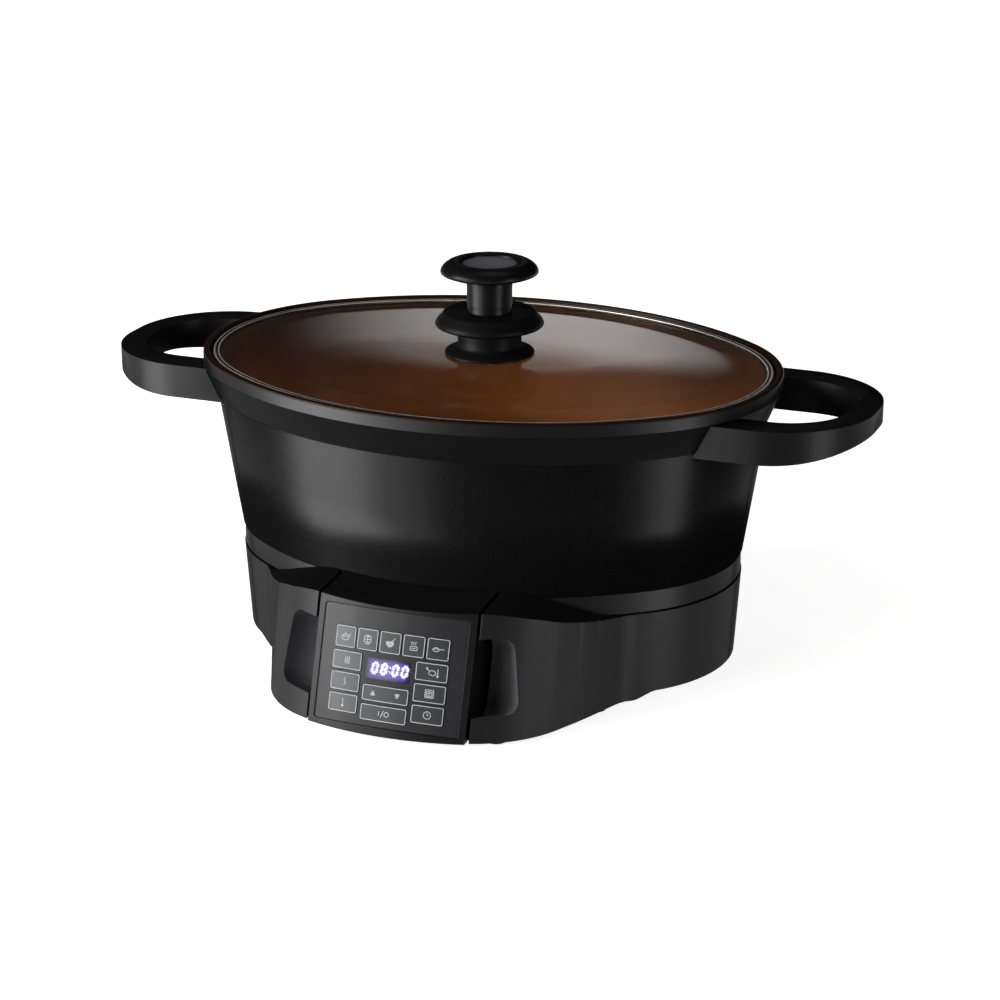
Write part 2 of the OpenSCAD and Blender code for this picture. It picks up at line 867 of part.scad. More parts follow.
module ceramic_spacers() {
    color("ivory")
        for (x = [-1, 1], y = [-1, 1])
            difference() {
                bar(spacer_radius, pan_z + sheet, plate_z, [x * spacer[0], y * spacer[1]]);
                bar(2.1, pan_z, plate_z + 1, [x * spacer[0], y * spacer[1]]);
            }
}

module plate_screws() {
    color("silver")
        for (x = [-1, 1], y = [-1, 1]) {
            bar(1.6, pan_z, plate_top - 3, [x * spacer[0], y * spacer[1]]);
            bar(3.5, pan_z - 2.2, pan_z, [x * spacer[0], y * spacer[1]]);
        }
}

module sensor_guide() {
    color("silver")
        difference() {
            union() {
                bar(guide_outer, guide_z, plate_z - 2);
                bar(guide_outer + 5, pan_z - 1.2, pan_z);
            }
            bar(guide_inner, guide_z + 1.2, plate_top);
        }
}

module sensor_cup() {
    foot = guide_z + 1.2 + cup_travel + 1;
    color("#b9bbbe")
        difference() {
            bar(cup_diameter / 2, foot, plate_top);
            bar(cup_diameter / 2 - cup_wall, foot - 1, plate_top - 1.5);
        }
}

// The spring's wire as one tube: rings of points round a helix
coil_z0 = guide_z + 1.2 + wire_radius + snug;
coil_z1 = plate_top - 1.5 - wire_radius - snug;
coil_rings = 8 * coil_turns;
coil_sides = 6;
coil_rise = (coil_z1 - coil_z0) / coil_rings;
coil_points = [for (i = [0:coil_rings], j = [0:coil_sides - 1])
    let (a = 45 * i, b = 360 * j / coil_sides, r = coil_radius + wire_radius * cos(b))
        [r * cos(a), r * sin(a), coil_z0 + coil_rise * i + wire_radius * sin(b)]];
coil_faces = concat(
    [[for (j = [0:coil_sides - 1]) j]],
    [for (i = [0:coil_rings - 1], j = [0:coil_sides - 1], half = [0, 1])
        let (k = (j + 1) % coil_sides, p = i * coil_sides, q = p + coil_sides)
            half == 0 ? [p + j, q + j, q + k] : [p + j, q + k, p + k]],
    [[for (j = [coil_sides - 1:-1:0]) coil_rings * coil_sides + j]]
);
// The least gap between one curl and the next
echo(least_coil_gap = 8 * coil_rise - 2 * wire_radius);

module sensor_spring() {
    color("silver")
        polyhedron(coil_points, coil_faces);
}

fuse_at = [44, 16];
fuse_radius = 2.6;
clip_sheet = 1;

module thermal_fuse() {
    color("#c9b37a")
        translate([fuse_at[0], fuse_at[1], pan_z - clip_sheet - fuse_radius])
            rotate([0, 90, 0])
                cylinder(r = fuse_radius, h = 16, center = true);
}

module fuse_clip() {
    r = fuse_radius + snug;
    color("silver")
        difference() {
            box([fuse_at[0] - 4, fuse_at[1] - 12, pan_z - clip_sheet - 2 * r - clip_sheet],
                [fuse_at[0] + 4, fuse_at[1] + r + clip_sheet, pan_z]);
            translate([fuse_at[0], fuse_at[1], pan_z - clip_sheet - fuse_radius])
                rotate([0, 90, 0])
                    cylinder(r = r, h = 20, center = true);
            box([fuse_at[0] - 5, fuse_at[1] - 13, 0], [fuse_at[0] + 5, fuse_at[1] - r - clip_sheet, pan_z - clip_sheet]);
        }
}

// Electrics

board_z = 13;
board = [104, 64];
board_y = 10;
board_thickness = 1.6;
STANDOFFS = [for (x = [-1, 1], y = [-1, 1]) [x * (board[0] / 2 - 6), board_y + y * (board[1] / 2 - 6)]];

module on_board(x, y, w, d, h) {
    translate([x - w / 2, board_y + y - d / 2, board_z + board_thickness])
        cube([w, d, h]);
}

module power_board() {
    color("#2f6b3c")
        difference() {
            box([-board[0] / 2, board_y - board[1] / 2, board_z],
                [board[0] / 2, board_y + board[1] / 2, board_z + board_thickness]);
            for (p = STANDOFFS)
                bar(1.6, board_z - 1, board_z + board_thickness + 1, p);
        }
}

module relay() {
    color("#20456e")
        on_board(-30, 4, 28, 13, 15);
}

module capacitor() {
    color("#303236")
        bar(5, board_z + board_thickness, board_z + board_thickness + 13, [4, board_y - 16]);
}

module terminal_block() {
    ways = 3;
    pitch = 9;
    color("#d8d6cc")
        difference() {
            on_board(28, 18, ways * pitch + 2, 14, 12);
            for (i = [0:ways - 1])
                bar(2, board_z + board_thickness + 3, board_z + 40, [28 + (i - (ways - 1) / 2) * pitch, board_y + 18]);
        }
}

module cord_gland() {
    flange = gland_radius + 2.4;
    wall_y = rear_y + sqrt(pow(rear_corner, 2) - pow(gland_x - rear_x, 2));
    color("#121213")
        translate([gland_x, wall_y, gland_z])
            rotate([-90, 0, 0])
                difference() {
                    union() {
                        translate([0, 0, -12])
                            cylinder(r = gland_radius - snug, h = 16);
                        translate([0, 0, 2.2])
                            cylinder(r = flange, h = 2.4);
                    }
                    translate([0, 0, -13])
                        cylinder(r = 3.6, h = 20);
                }
}

module unit_socket() {
    color("#222224")
        difference() {
            box([-17, socket_y, socket_z - 7], [17, socket_y + 15, socket_z + 7]);
            blades(fit);
        }
}

// Control unit

housing_gap = 0.5;
housing_half = unit_width / 2 - housing_gap;
housing_wall = 2.6;
housing_z = ground_gap + bay_floor + 0.4;
overlay_half = unit_width / 2 - fascia_border;
overlay_foot = 3.3;
overlay_top = 70.4;
overlay_drop = 0.5;
window = [27.2, 12.2];
window_at = [0, 36.6];
key_gap = 0.2;
key_flange = 0.4;
board_depth = 14;
board_foot = 10.6;
board_head = 67;
// Where the screw posts behind the fascia hold the board
POSTS = [for (x = [-40.6, 40.6], z = [board_foot + 3.4, board_head - 3.4]) [x, z]];

// How far the panel's own frame starts above its lower edge
panel_foot = 1.7;

// The panel's own frame: X across, Z up the face, and -Y out of it
module on_panel() {
    translate([0, -panel_reach, ground_gap + panel_foot])
        rotate([-panel_lean, 0, 0])
            children();
}

// The space within a given depth of the panel's convex face
module within(depth) {
    translate([0, panel_radius, -far / 2])
        cylinder(r = panel_radius - depth, h = far, $fn = 192);
}

// A layer of the panel between two depths, over an outline on the face
module layer(front, back) {
    intersection() {
        difference() {
            within(front);
            within(back);
        }
        rotate([90, 0, 0])
            linear_extrude(60, center = true)
                children();
    }
}

module overlay_plan(grow) {
    translate([0, (overlay_foot + overlay_top) / 2])
        rounded_square(2 * overlay_half + 2 * grow, overlay_top - overlay_foot + 2 * grow, 2);
}

module key_plan(k, grow) {
    translate([k[1], k[2]])
        rounded_square(k[3] + 2 * grow, k[4] + 2 * grow, 1 + max(grow, -0.5));
}

module window_plan(grow) {
    translate(window_at)
        rounded_square(window[0] + 2 * grow, window[1] + 2 * grow, 0.8);
}

overlay_back = overlay_drop + overlay_thickness;
flange_front = overlay_back + key_flange;
flange_back = flange_front + 1;
pad_depth = flange_back + key_travel + 0.4;

module unit_housing() {
    color("#161618")
        difference() {
            intersection() {
                box([-housing_half, -far, housing_z], [housing_half, 0, far]);
                under_deck(0);
                on_panel()
                    within(fascia_thickness + snug);
            }
            oval_block(deck_inset, deck_inset, 0, rim_z);
            difference() {
                intersection() {
                    box([-housing_half + housing_wall, -far, housing_z + housing_wall],
                        [housing_half - housing_wall, 0, far]);
                    under_deck(housing_wall);
                }
                oval_block(deck_inset - housing_wall, deck_inset - housing_wall, 0, rim_z);
            }
            box([-10.2, -deck_edge - 10, socket_z - 4.2], [10.2, 0, socket_z + 4.2]);
        }
}

module unit_fascia() {
    open_half = overlay_half - 6;
    color("#1a1a1c")
        difference() {
            union() {
                intersection() {
                    box([-unit_width / 2, -far, ground_gap], [unit_width / 2, 0, far]);
                    under_deck(0);
                    on_panel()
                        difference() {
                            within(0);
                            within(fascia_thickness);
                        }
                }
                on_panel()
                    for (p = POSTS)
                        intersection() {
                            translate([p[0], 0, p[1]])
                                rotate([-90, 0, 0])
                                    cylinder(r = 2.4, h = board_depth);
                            within(fascia_thickness - 1);
                        }
            }
            on_panel()
                layer(-1, overlay_back + snug)
                    overlay_plan(snug);
            on_panel()
                rotate([90, 0, 0])
                    linear_extrude(24, center = true)
                        translate([0, (overlay_foot + 1.8 + overlay_top - 2) / 2])
                            rounded_square(2 * open_half, overlay_top - overlay_foot - 3.8, 2);
            on_panel()
                for (p = POSTS)
                    translate([p[0], board_depth - 6, p[1]])
                        rotate([-90, 0, 0])
                            cylinder(r = 1.1, h = 10);
        }
}

module overlay_panel() {
    color("#26272a")
        on_panel()
            difference() {
                layer(overlay_drop, overlay_back)
                    overlay_plan(-snug);
                layer(overlay_drop - 1, overlay_back + 1)
                    union() {
                        for (k = KEYS)
                            key_plan(k, key_gap);
                        window_plan(snug);
                    }
            }
}

module display_window() {
    color("#2a2340", 0.8)
        on_panel()
            layer(overlay_drop, overlay_back + 0.6)
                window_plan(0);
}

module display_block() {
    color("#e8e6f5")
        on_panel()
            intersection() {
                within(overlay_back + 0.7);
                translate([0, 0, window_at[1]])
                    box([-13, -1, -5.6], [13, board_depth, 5.6]);
            }
}

module control_board() {
    color("#2f6b3c")
        on_panel()
            difference() {
                box([-43, board_depth, board_foot], [43, board_depth + 1.6, board_head]);
                for (p = POSTS)
                    translate([p[0], board_depth - 1, p[1]])
                        rotate([-90, 0, 0])
                            cylinder(r = 1.5, h = 4);
            }
}

module keypad_mat() {
    sheet_front = board_depth - 1.5;
    color("#5a5c60")
        on_panel()
            difference() {
                union() {
                    box([-37.6, sheet_front, board_foot - 1.2], [37.6, board_depth - snug, 59]);
                    for (k = KEYS)
                        intersection() {
                            rotate([90, 0, 0])
                                translate([0, 0, -sheet_front - 0.5])
                                    linear_extrude(sheet_front)
                                        key_plan(k, -2);
                            within(pad_depth);
                        }
                }
                translate([0, 0, window_at[1]])
                    box([-13 - fit, -1, -5.6 - fit], [13 + fit, 20, 5.6 + fit]);
            }
}

module unit_screws() {
    color("silver")
        on_panel()
            for (p = POSTS)
                translate([p[0], board_depth - 5, p[1]])
                    rotate([-90, 0, 0]) {
                        cylinder(r = 1, h = 7);
                        translate([0, 0, 6.6])
                            cylinder(r = 2.2, h = 1.6);
                    }
}

module unit_plug() {
    rear = -deck_edge + 1.2;
    color("#222224")
        difference() {
            union() {
                box([-10, rear - 12, socket_z - 4], [10, rear, socket_z + 4]);
                box([-13, rear - 12, socket_z - 7], [13, rear - 1.2 - housing_wall - 2.6, socket_z + 7]);
            }
            blades(snug);
        }
}

// The three contact blades, let out by a clearance
module blades(grow) {
    back = -deck_edge + 14;
    for (i = [-1:1])
        box([i * 6 - 0.4 - grow, -deck_edge - 8, socket_z - 2.5 - grow],
            [i * 6 + 0.4 + grow, back + grow, socket_z + 2.5 + grow]);
}

module plug_blades() {
    color("goldenrod")
        blades(0);
}

module key(k) {
    top = overlay_drop - key_lift;
    color("#2c2d31")
        on_panel() {
            layer(top, flange_back)
                key_plan(k, 0);
            layer(flange_front, flange_back)
                key_plan(k, key_flange);
        }
}

// The part's origin is midway between its foremost and rearmost edges
module placed() {
    translate([0, (panel_reach + panel_foot * tan(panel_lean) - rim_b) / 2, 0])
        children();
}

placed() lid_glass();
placed() lid_rim();
placed() knob_foot();
placed() knob_collar();
placed() knob_neck();
placed() knob_grip();
placed() knob_cap();
placed() knob_screw();
placed() knob_washer();
placed() pot_shell();
placed() handle_left();
placed() handle_right();
placed() handle_screws();
placed() base_shell();
placed() bottom_cover();
placed() rubber_feet();
placed() cover_screws();
placed() heat_pan();
placed() hot_plate();
placed() heating_element();
placed() ceramic_spacers();
placed() plate_screws();
placed() sensor_guide();
placed() sensor_cup();
placed() sensor_spring();
placed() thermal_fuse();
placed() fuse_clip();
placed() power_board();
placed() relay();
placed() capacitor();
placed() terminal_block();
placed() cord_gland();
placed() unit_socket();
placed() unit_housing();
placed() unit_fascia();
placed() overlay_panel();
placed() display_window();
placed() display_block();
placed() control_board();
placed() keypad_mat();
placed() unit_screws();
placed() unit_plug();
placed() plug_blades();
for (k = KEYS)
    placed() key(k);
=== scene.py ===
"""A multicooker with a lift-off glass lid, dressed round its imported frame.

Run as a script in Blender, it loads the frame, builds the visible pieces on it and sets up the studio.
"""

import json
from math import atan2, cos, hypot, pi, radians, sin, sqrt

import bpy
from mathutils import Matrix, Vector

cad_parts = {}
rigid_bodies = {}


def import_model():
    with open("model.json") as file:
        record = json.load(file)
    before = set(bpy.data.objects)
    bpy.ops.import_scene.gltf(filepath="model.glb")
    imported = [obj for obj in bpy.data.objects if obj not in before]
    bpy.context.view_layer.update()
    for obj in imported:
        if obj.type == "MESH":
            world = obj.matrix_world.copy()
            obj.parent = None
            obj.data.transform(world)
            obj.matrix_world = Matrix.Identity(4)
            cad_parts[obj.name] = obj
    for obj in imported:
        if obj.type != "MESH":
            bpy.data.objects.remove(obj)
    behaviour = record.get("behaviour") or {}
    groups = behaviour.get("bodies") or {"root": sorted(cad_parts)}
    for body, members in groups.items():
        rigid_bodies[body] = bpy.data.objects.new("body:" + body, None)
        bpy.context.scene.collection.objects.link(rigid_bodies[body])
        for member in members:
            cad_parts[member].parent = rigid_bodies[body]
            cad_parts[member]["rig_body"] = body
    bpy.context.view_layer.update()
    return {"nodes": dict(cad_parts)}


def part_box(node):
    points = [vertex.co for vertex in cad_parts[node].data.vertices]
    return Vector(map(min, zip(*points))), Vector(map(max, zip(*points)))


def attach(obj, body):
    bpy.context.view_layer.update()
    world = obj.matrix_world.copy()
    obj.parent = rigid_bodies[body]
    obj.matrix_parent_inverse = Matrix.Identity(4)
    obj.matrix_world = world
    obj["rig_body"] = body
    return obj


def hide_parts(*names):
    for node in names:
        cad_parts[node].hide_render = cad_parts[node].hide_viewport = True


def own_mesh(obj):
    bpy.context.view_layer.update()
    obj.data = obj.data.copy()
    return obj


bl_info = {
    "name": "Multicooker",
    "version": (1, 0, 0),
    "blender": (4, 5, 0),
    "location": "View3D > Sidebar > Multicooker",
    "description": "Builds the visible pieces of a multicooker round its packed frame",
    "category": "Add Mesh",
}

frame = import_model()
NODES = frame["nodes"]
MM = 0.001
SAME_POINT = 2e-6  # metres within which two corners of a mesh are one

# What the frame gives: the pot's oval and its axis
POT_LOW, POT_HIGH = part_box("pot_shell")
AXIS_Y = (POT_LOW.y + POT_HIGH.y) / 2
RIM_A = (POT_HIGH.x - POT_LOW.x) / 2
RIM_B = (POT_HIGH.y - POT_LOW.y) / 2


def linear(hex_colour):
    """An sRGB hex colour as linear red, green, blue and alpha."""
    parts = [int(hex_colour[i:i + 2], 16) / 255 for i in (1, 3, 5)]
    return tuple(c / 12.92 if c <= 0.04045 else ((c + 0.055) / 1.055) ** 2.4 for c in parts) + (1.0,)


def length(name, description, millimetres):
    """A property that holds a length."""
    return bpy.props.FloatProperty(name=name, description=description, default=millimetres * MM, min=0,
                                   precision=5, subtype="DISTANCE", unit="LENGTH")


def colour(name, description, hex_colour):
    """A property that holds a colour."""
    return bpy.props.FloatVectorProperty(name=name, description=description, default=linear(hex_colour)[:3],
                                         size=3, min=0, max=1, subtype="COLOR")


class CookerSizes(bpy.types.PropertyGroup):
    """Sizes of the visible pieces."""

    end_radius: length("End radius", "Radius of the two end arcs of the pot's oval", 110)
    lip_width: length("Lip width", "Width of the pot's lip outside the lid", 4.4)
    edge_round: length("Edge rounding", "Rounding of the moulded edges", 0.9)
    handle_round: length("Handle rounding", "Rounding of the handles' edges", 0.9)
    print_width: length("Print width", "Width of the printed lines on the keys", 0.42)
    print_height: length("Print height", "How far the print stands above the keys", 0.04)
    oval_steps: bpy.props.IntProperty(name="Oval steps", description="Steps in a quarter of the oval",
                                      default=40, min=8, max=120)
    turned_steps: bpy.props.IntProperty(name="Turned steps", description="Steps round the knob",
                                        default=96, min=24, max=200)


class CookerColours(bpy.types.PropertyGroup):
    """Colours of the visible finishes."""

    coat: colour("Pot coat", "Satin coat outside the pot", "#121213")
    lining: colour("Pot lining", "Copper-brown non-stick lining", "#a65c26")
    plastic: colour("Base plastic", "Moulded plastic of the base", "#141415")
    handle: colour("Handle plastic", "Moulded plastic of handles and knob", "#131314")
    overlay: colour("Overlay", "Glossy overlay of the panel", "#2b2b2d")
    key: colour("Keys", "Face of the keys", "#37383c")
    ink: colour("Print", "Printed lines on the keys", "#d6d8db")
    glow: colour("Display glow", "Glow behind the digits", "#6452b8")
    digit: colour("Display digits", "Lit digits", "#f4f0ff")


class CookerStage(bpy.types.PropertyGroup):
    """Camera and light."""

    camera: bpy.props.FloatVectorProperty(name="Camera", description="Place of the camera", size=3,
                                          default=(0.5925, -1.4939, 0.6534), subtype="XYZ", unit="LENGTH")
    target: bpy.props.FloatVectorProperty(name="Target", description="Point the camera looks at", size=3,
                                          default=(0.0058, 0.0205, 0.0901), subtype="XYZ", unit="LENGTH")
    lens: bpy.props.FloatProperty(name="Lens", description="Focal length on a 36 mm sensor, in millimetres",
                                  default=100.8, min=10, max=400)
    light: bpy.props.FloatProperty(name="Light", description="Power of the studio lamps, as a share",
                                   default=1.0, min=0, max=4)


# What the frame says of a node

def body_of(node):
    """The body that a frame's node rides on."""
    return NODES[node]["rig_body"]


def extent_of(node):
    """The lowest and the highest level and half the width of a frame's node, in millimetres."""
    low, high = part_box(node)
    return low.z / MM, high.z / MM, (high.x - low.x) / 2 / MM


# Modelling helpers

def settings():
    """The sizes and colours that the user has set."""
    scene = bpy.context.scene
    return scene.cooker_sizes, scene.cooker_colours


def deselect():
    """Object mode with nothing selected, because an operator acts on all that is."""
    if bpy.context.mode != "OBJECT":
        bpy.ops.object.mode_set(mode="OBJECT")
    bpy.ops.object.select_all(action="DESELECT")


def picked(*objects):
    """Object mode with only these objects selected, the first of them active."""
    deselect()
    for obj in objects:
        obj.select_set(True)
    bpy.context.view_layer.objects.active = objects[0]


def edit(obj, kind="VERT", action="SELECT"):
    """Edit mode on one object, with all or nothing selected in it."""
    picked(obj)
    bpy.ops.object.mode_set(mode="EDIT")
    bpy.ops.mesh.select_mode(type=kind)
    bpy.ops.mesh.select_all(action=action)


def line(name, points):
    """A new object that is one open line, drawn by extruding a vertex from point to point."""
    deselect()
    bpy.ops.mesh.primitive_plane_add(size=MM, location=points[0])
    obj = bpy.context.object
    obj.name = obj.data.name = name
    bpy.ops.object.transform_apply(location=True, rotation=True, scale=True)
    edit(obj)
    bpy.ops.mesh.merge(type="CENTER")
    for here, there in zip(points, points[1:]):
        step = Vector(there) - Vector(here)
        bpy.ops.mesh.extrude_region_move(TRANSFORM_OT_translate={"value": step})
    deselect()
    return obj


def modifier(obj, kind, **values):
    """Adds a modifier with its settings and applies it."""
    picked(obj)
    m = obj.modifiers.new(kind.title(), kind)
    for key, value in values.items():
        setattr(m, key, value)
    bpy.ops.object.modifier_apply(modifier=m.name)


def closed(obj, smooth=35):
    """Merges doubles, turns the faces outwards and shades smooth up to an angle in degrees."""
    edit(obj)
    bpy.ops.mesh.remove_doubles(threshold=SAME_POINT)
    bpy.ops.mesh.normals_make_consistent(inside=False)
    shade(obj, smooth)


def shade(obj, smooth):
    """Shades smooth up to an angle in degrees."""
    picked(obj)
    bpy.ops.object.shade_smooth_by_angle(angle=radians(smooth))


def moved(obj, place):
    """Moves a piece and puts its place in its mesh."""
    picked(obj)
    obj.location = place
    bpy.ops.object.transform_apply(location=True, rotation=True, scale=True)


def painted(obj, *materials):
    """Gives a piece its materials, the first of them where nothing else is said."""
    obj.data.materials.clear()
    for m in materials:
        obj.data.materials.append(m)


def at(x, z, *steps):
    """Points of a profile, each by its steps across and up from one corner."""
    return [(x + across, z + up) for across, up in steps]


def oval(name, profile, end_radius, steps):
    """Points of inset and height carried round the pot's oval: an end arc and a side arc by spin, then mirrored."""
    end_c = RIM_A - end_radius
    side_radius = (end_c ** 2 + RIM_B ** 2 - end_radius ** 2) / (2 * (RIM_B - end_radius))
    side_c = side_radius - RIM_B
    seam = atan2(side_c, end_c)
    obj = line(name, [(RIM_A - inset * MM, 0, z * MM) for inset, z in profile])
    edit(obj)
    bpy.ops.mesh.spin(steps=steps * 2 // 3, angle=-seam, center=(end_c, 0, 0), axis=(0, 0, 1))
    bpy.ops.mesh.spin(steps=steps * 2 // 3, angle=seam - pi / 2, center=(0, -side_c, 0), axis=(0, 0, 1))
    deselect()
    if max(v.co.y for v in obj.data.vertices) < RIM_B / 2:
        raise RuntimeError(name + " was spun the wrong way")
    modifier(obj, "MIRROR", use_axis=(True, True, False), merge_threshold=1e-5)
    return obj


def capped(obj, heights):
    """Fills the open loops of a mesh that lie at the given heights, each with a face."""
    for z in heights:
        edit(obj, "EDGE", "DESELECT")
        bpy.ops.mesh.select_non_manifold(extend=False, use_wire=False, use_multi_face=False,
                                         use_non_contiguous=False, use_verts=False)
        bpy.ops.object.mode_set(mode="OBJECT")
        for e in obj.data.edges:
            e.select = e.select and abs(obj.data.vertices[e.vertices[0]].co.z - z * MM) < 2e-5
        bpy.ops.object.mode_set(mode="EDIT")
        bpy.ops.mesh.edge_face_add()
    deselect()


def turned(name, profile, steps, centre=(0, 0)):
    """Points of radius and height turned round an upright axis."""
    obj = line(name, [(r * MM, 0, z * MM) for r, z in profile])
    edit(obj)
    bpy.ops.mesh.spin(steps=steps, angle=2 * pi, center=(0, 0, 0), axis=(0, 0, 1))
    moved(obj, (centre[0], centre[1], 0))
    return obj


def copied(node, name):
    """A copy of a frame's node as one clean mesh: merged, with its flat faces whole."""
    obj = bpy.data.objects.new(name, NODES[node].data.copy())
    bpy.context.scene.collection.objects.link(obj)
    edit(obj)
    bpy.ops.mesh.customdata_custom_splitnormals_clear()
    bpy.ops.mesh.remove_doubles(threshold=SAME_POINT)
    bpy.ops.mesh.dissolve_limited(angle_limit=radians(0.4))
    deselect()
    return obj


def arc(cx, cy, rx, ry, start, end, steps=10):
    """Points on an elliptic arc, with angles in degrees."""
    return [(cx + rx * cos(radians(start + (end - start) * i / steps)),
             cy + ry * sin(radians(start + (end - start) * i / steps))) for i in range(steps + 1)]


# Materials

# A range that starts and ends softly, and the part of a noise's range that its tones and gloss are spread over
SMOOTH = {"interpolation_type": "SMOOTHSTEP"}
NOISE = (0.3, 0.7)
# Facing, from Layer Weight, at which a grained surface starts to lose its gloss and has lost it, and what is left
FADE_START, FADE_END, FADE_LEFT = 0.4, 0.78, 0.04
# Heights over the floor above and below which a wall has the first and the second value of its lift
LIFT_ABOVE, LIFT_BELOW = 122 * MM, 88 * MM
# Heights over the floor below which the pot's lining keeps its full tone, and above which painted shade darkens it to
# the rim share
FULL_TONE_BELOW, PAINTED_SHADE_ABOVE = 108 * MM, 171 * MM


def add(tree, kind, inputs=None, **values):
    """Adds a shader node with its settings, and sets its inputs or links them to a socket or a node's first output."""
    n = tree.nodes.new("ShaderNode" + kind)
    for key, value in values.items():
        setattr(n, key, value)
    for key, value in (inputs or {}).items():
        if isinstance(value, bpy.types.Node):
            value = value.outputs[0]
        if isinstance(value, bpy.types.NodeSocket):
            tree.links.new(value, n.inputs[key])
        else:
            n.inputs[key].default_value = value
    return n


def material(name):
    """A new material, with its node tree and Object coordinates."""
    m = bpy.data.materials.new(name)
    m.use_nodes = True
    m.node_tree.nodes.clear()
    return m, m.node_tree, add(m.node_tree, "TexCoord").outputs["Object"]


def shown(tree, shader):
    """Puts a shader on the material's surface."""
    add(tree, "OutputMaterial", {"Surface": shader})


def toned(rgb, share=1.0):
    """A colour as it is, darker or lighter, with its alpha."""
    return tuple(c * share for c in rgb[:3]) + (1.0,)


def moulded(name, rgb, rough, grain=0.5, depth=0.012, edge=0.9, coat=0.0, shine=0.25, lift=None):
    """Moulded or coated surface: a fine even grain, a gloss that fades at low angles, and slightly round edges.

    Lengths are in millimetres. A real grain of under 0.1 mm is drawn coarser, so that it shows. With a lift, upright
    faces shine as if they leant back by that slope, one above and one below, and show the lamps, not the floor.
    """
    m, t, place = material(name)
    fine = add(t, "TexNoise", {"Vector": place, "Scale": 1 / (grain * MM), "Detail": 2.0, "Roughness": 0.55})
    broad = add(t, "TexNoise", {"Vector": place, "Scale": 1 / (38 * MM), "Detail": 3.0})
    tint = add(t, "ValToRGB", {"Fac": broad})
    for end, position, share in zip(tint.color_ramp.elements, NOISE, (0.9, 1.08)):
        end.position, end.color = position, toned(rgb, share)
    gloss = add(t, "MapRange", {
        "Value": fine, "From Min": NOISE[0], "From Max": NOISE[1], "To Min": rough - 0.05, "To Max": rough + 0.07})
    angle = add(t, "LayerWeight", {"Blend": 0.5})
    level = add(t, "MapRange", {
        "Value": angle.outputs["Facing"], "From Min": FADE_START, "From Max": FADE_END, "To Min": shine,
        "To Max": shine * FADE_LEFT})
    normal = add(t, "Bevel", {"Radius": edge * MM}, samples=4)
    if lift is not None:
        split = add(t, "SeparateXYZ", {"Vector": normal})
        height = add(t, "SeparateXYZ", {"Vector": place})
        slope = add(t, "MapRange", {
            "Value": height.outputs["Z"], "From Min": LIFT_ABOVE, "From Max": LIFT_BELOW, "To Min": lift[0],
            "To Max": lift[1]}, **SMOOTH)
        leant = add(t, "CombineXYZ", {"X": split.outputs["X"], "Y": split.outputs["Y"], "Z": slope})
        normal = add(t, "VectorMath", {0: leant}, operation="NORMALIZE")
    bump = add(t, "Bump", {"Height": fine, "Strength": 0.5, "Distance": depth * MM, "Normal": normal})
    shader = add(t, "BsdfPrincipled", {
        "Base Color": tint, "Roughness": gloss, "Specular IOR Level": level, "Coat Weight": coat,
        "Coat Roughness": 0.12, "Normal": bump})
    shown(t, shader)
    return m


def flaked(name, low, high, rough, flake=0.45, metal=0.15, shine=0.5, rim=1.0):
    """Sprayed coat with metal flakes: grains of two tones, drawn coarse enough to show, and painted shade that darkens
    it towards the rim by the rim share.
    """
    m, t, place = material(name)
    flakes = add(t, "TexVoronoi", {"Vector": place, "Scale": 1 / (flake * MM)})
    cloud = add(t, "TexNoise", {"Vector": place, "Scale": 1 / (30 * MM), "Detail": 4.0})
    tones = add(t, "MixRGB", {"Fac": 0.4, "Color1": cloud, "Color2": flakes.outputs["Color"]})
    ramp = add(t, "ValToRGB", {"Fac": tones})
    for end, position, tone in zip(ramp.color_ramp.elements, (0.25, 0.75), (low, high)):
        end.position, end.color = position, tone
    height = add(t, "SeparateXYZ", {"Vector": place})
    # Painted shade: full tone low in the pot, falling to the rim share near the rim
    brown = add(t, "MapRange", {
        "Value": height.outputs["Z"], "From Min": FULL_TONE_BELOW, "From Max": PAINTED_SHADE_ABOVE, "To Min": 1.0,
        "To Max": rim}, **SMOOTH)
    tone = add(t, "VectorMath", {0: ramp, "Scale": brown}, operation="SCALE")
    bump = add(t, "Bump", {"Height": flakes, "Strength": 0.25, "Distance": 0.01 * MM})
    shader = add(t, "BsdfPrincipled", {
        "Base Color": tone, "Roughness": rough, "Metallic": metal, "Specular IOR Level": shine, "Normal": bump})
    shown(t, shader)
    return m


def metal(name, rgb, rough, along=(1, 1, 1), streak=0.4, relief=0.2, share=0.6):
    """Worked metal: streaks along one way, or an even grain, drawn coarse enough to show in its gloss and tone.

    The share of metal is below one where plating, oxide or scratches scatter part of the light.
    """
    m, t, place = material(name)
    turned_place = add(t, "Mapping", {"Vector": place, "Scale": along})
    grain = add(t, "TexNoise", {"Vector": turned_place, "Scale": 1 / (streak * MM), "Detail": 3.0})
    tint = add(t, "ValToRGB", {"Fac": grain})
    for end, position, tone in zip(tint.color_ramp.elements, NOISE, (0.82, 1.05)):
        end.position, end.color = position, toned(rgb, tone)
    gloss = add(t, "MapRange", {
        "Value": grain, "From Min": NOISE[0], "From Max": NOISE[1], "To Min": max(0.05, rough - 0.08),
        "To Max": rough + 0.1})
    bump = add(t, "Bump", {"Height": grain, "Strength": relief, "Distance": 0.01 * MM})
    shader = add(t, "BsdfPrincipled", {"Base Color": tint, "Roughness": gloss, "Metallic": share, "Normal": bump})
    shown(t, shader)
    return m


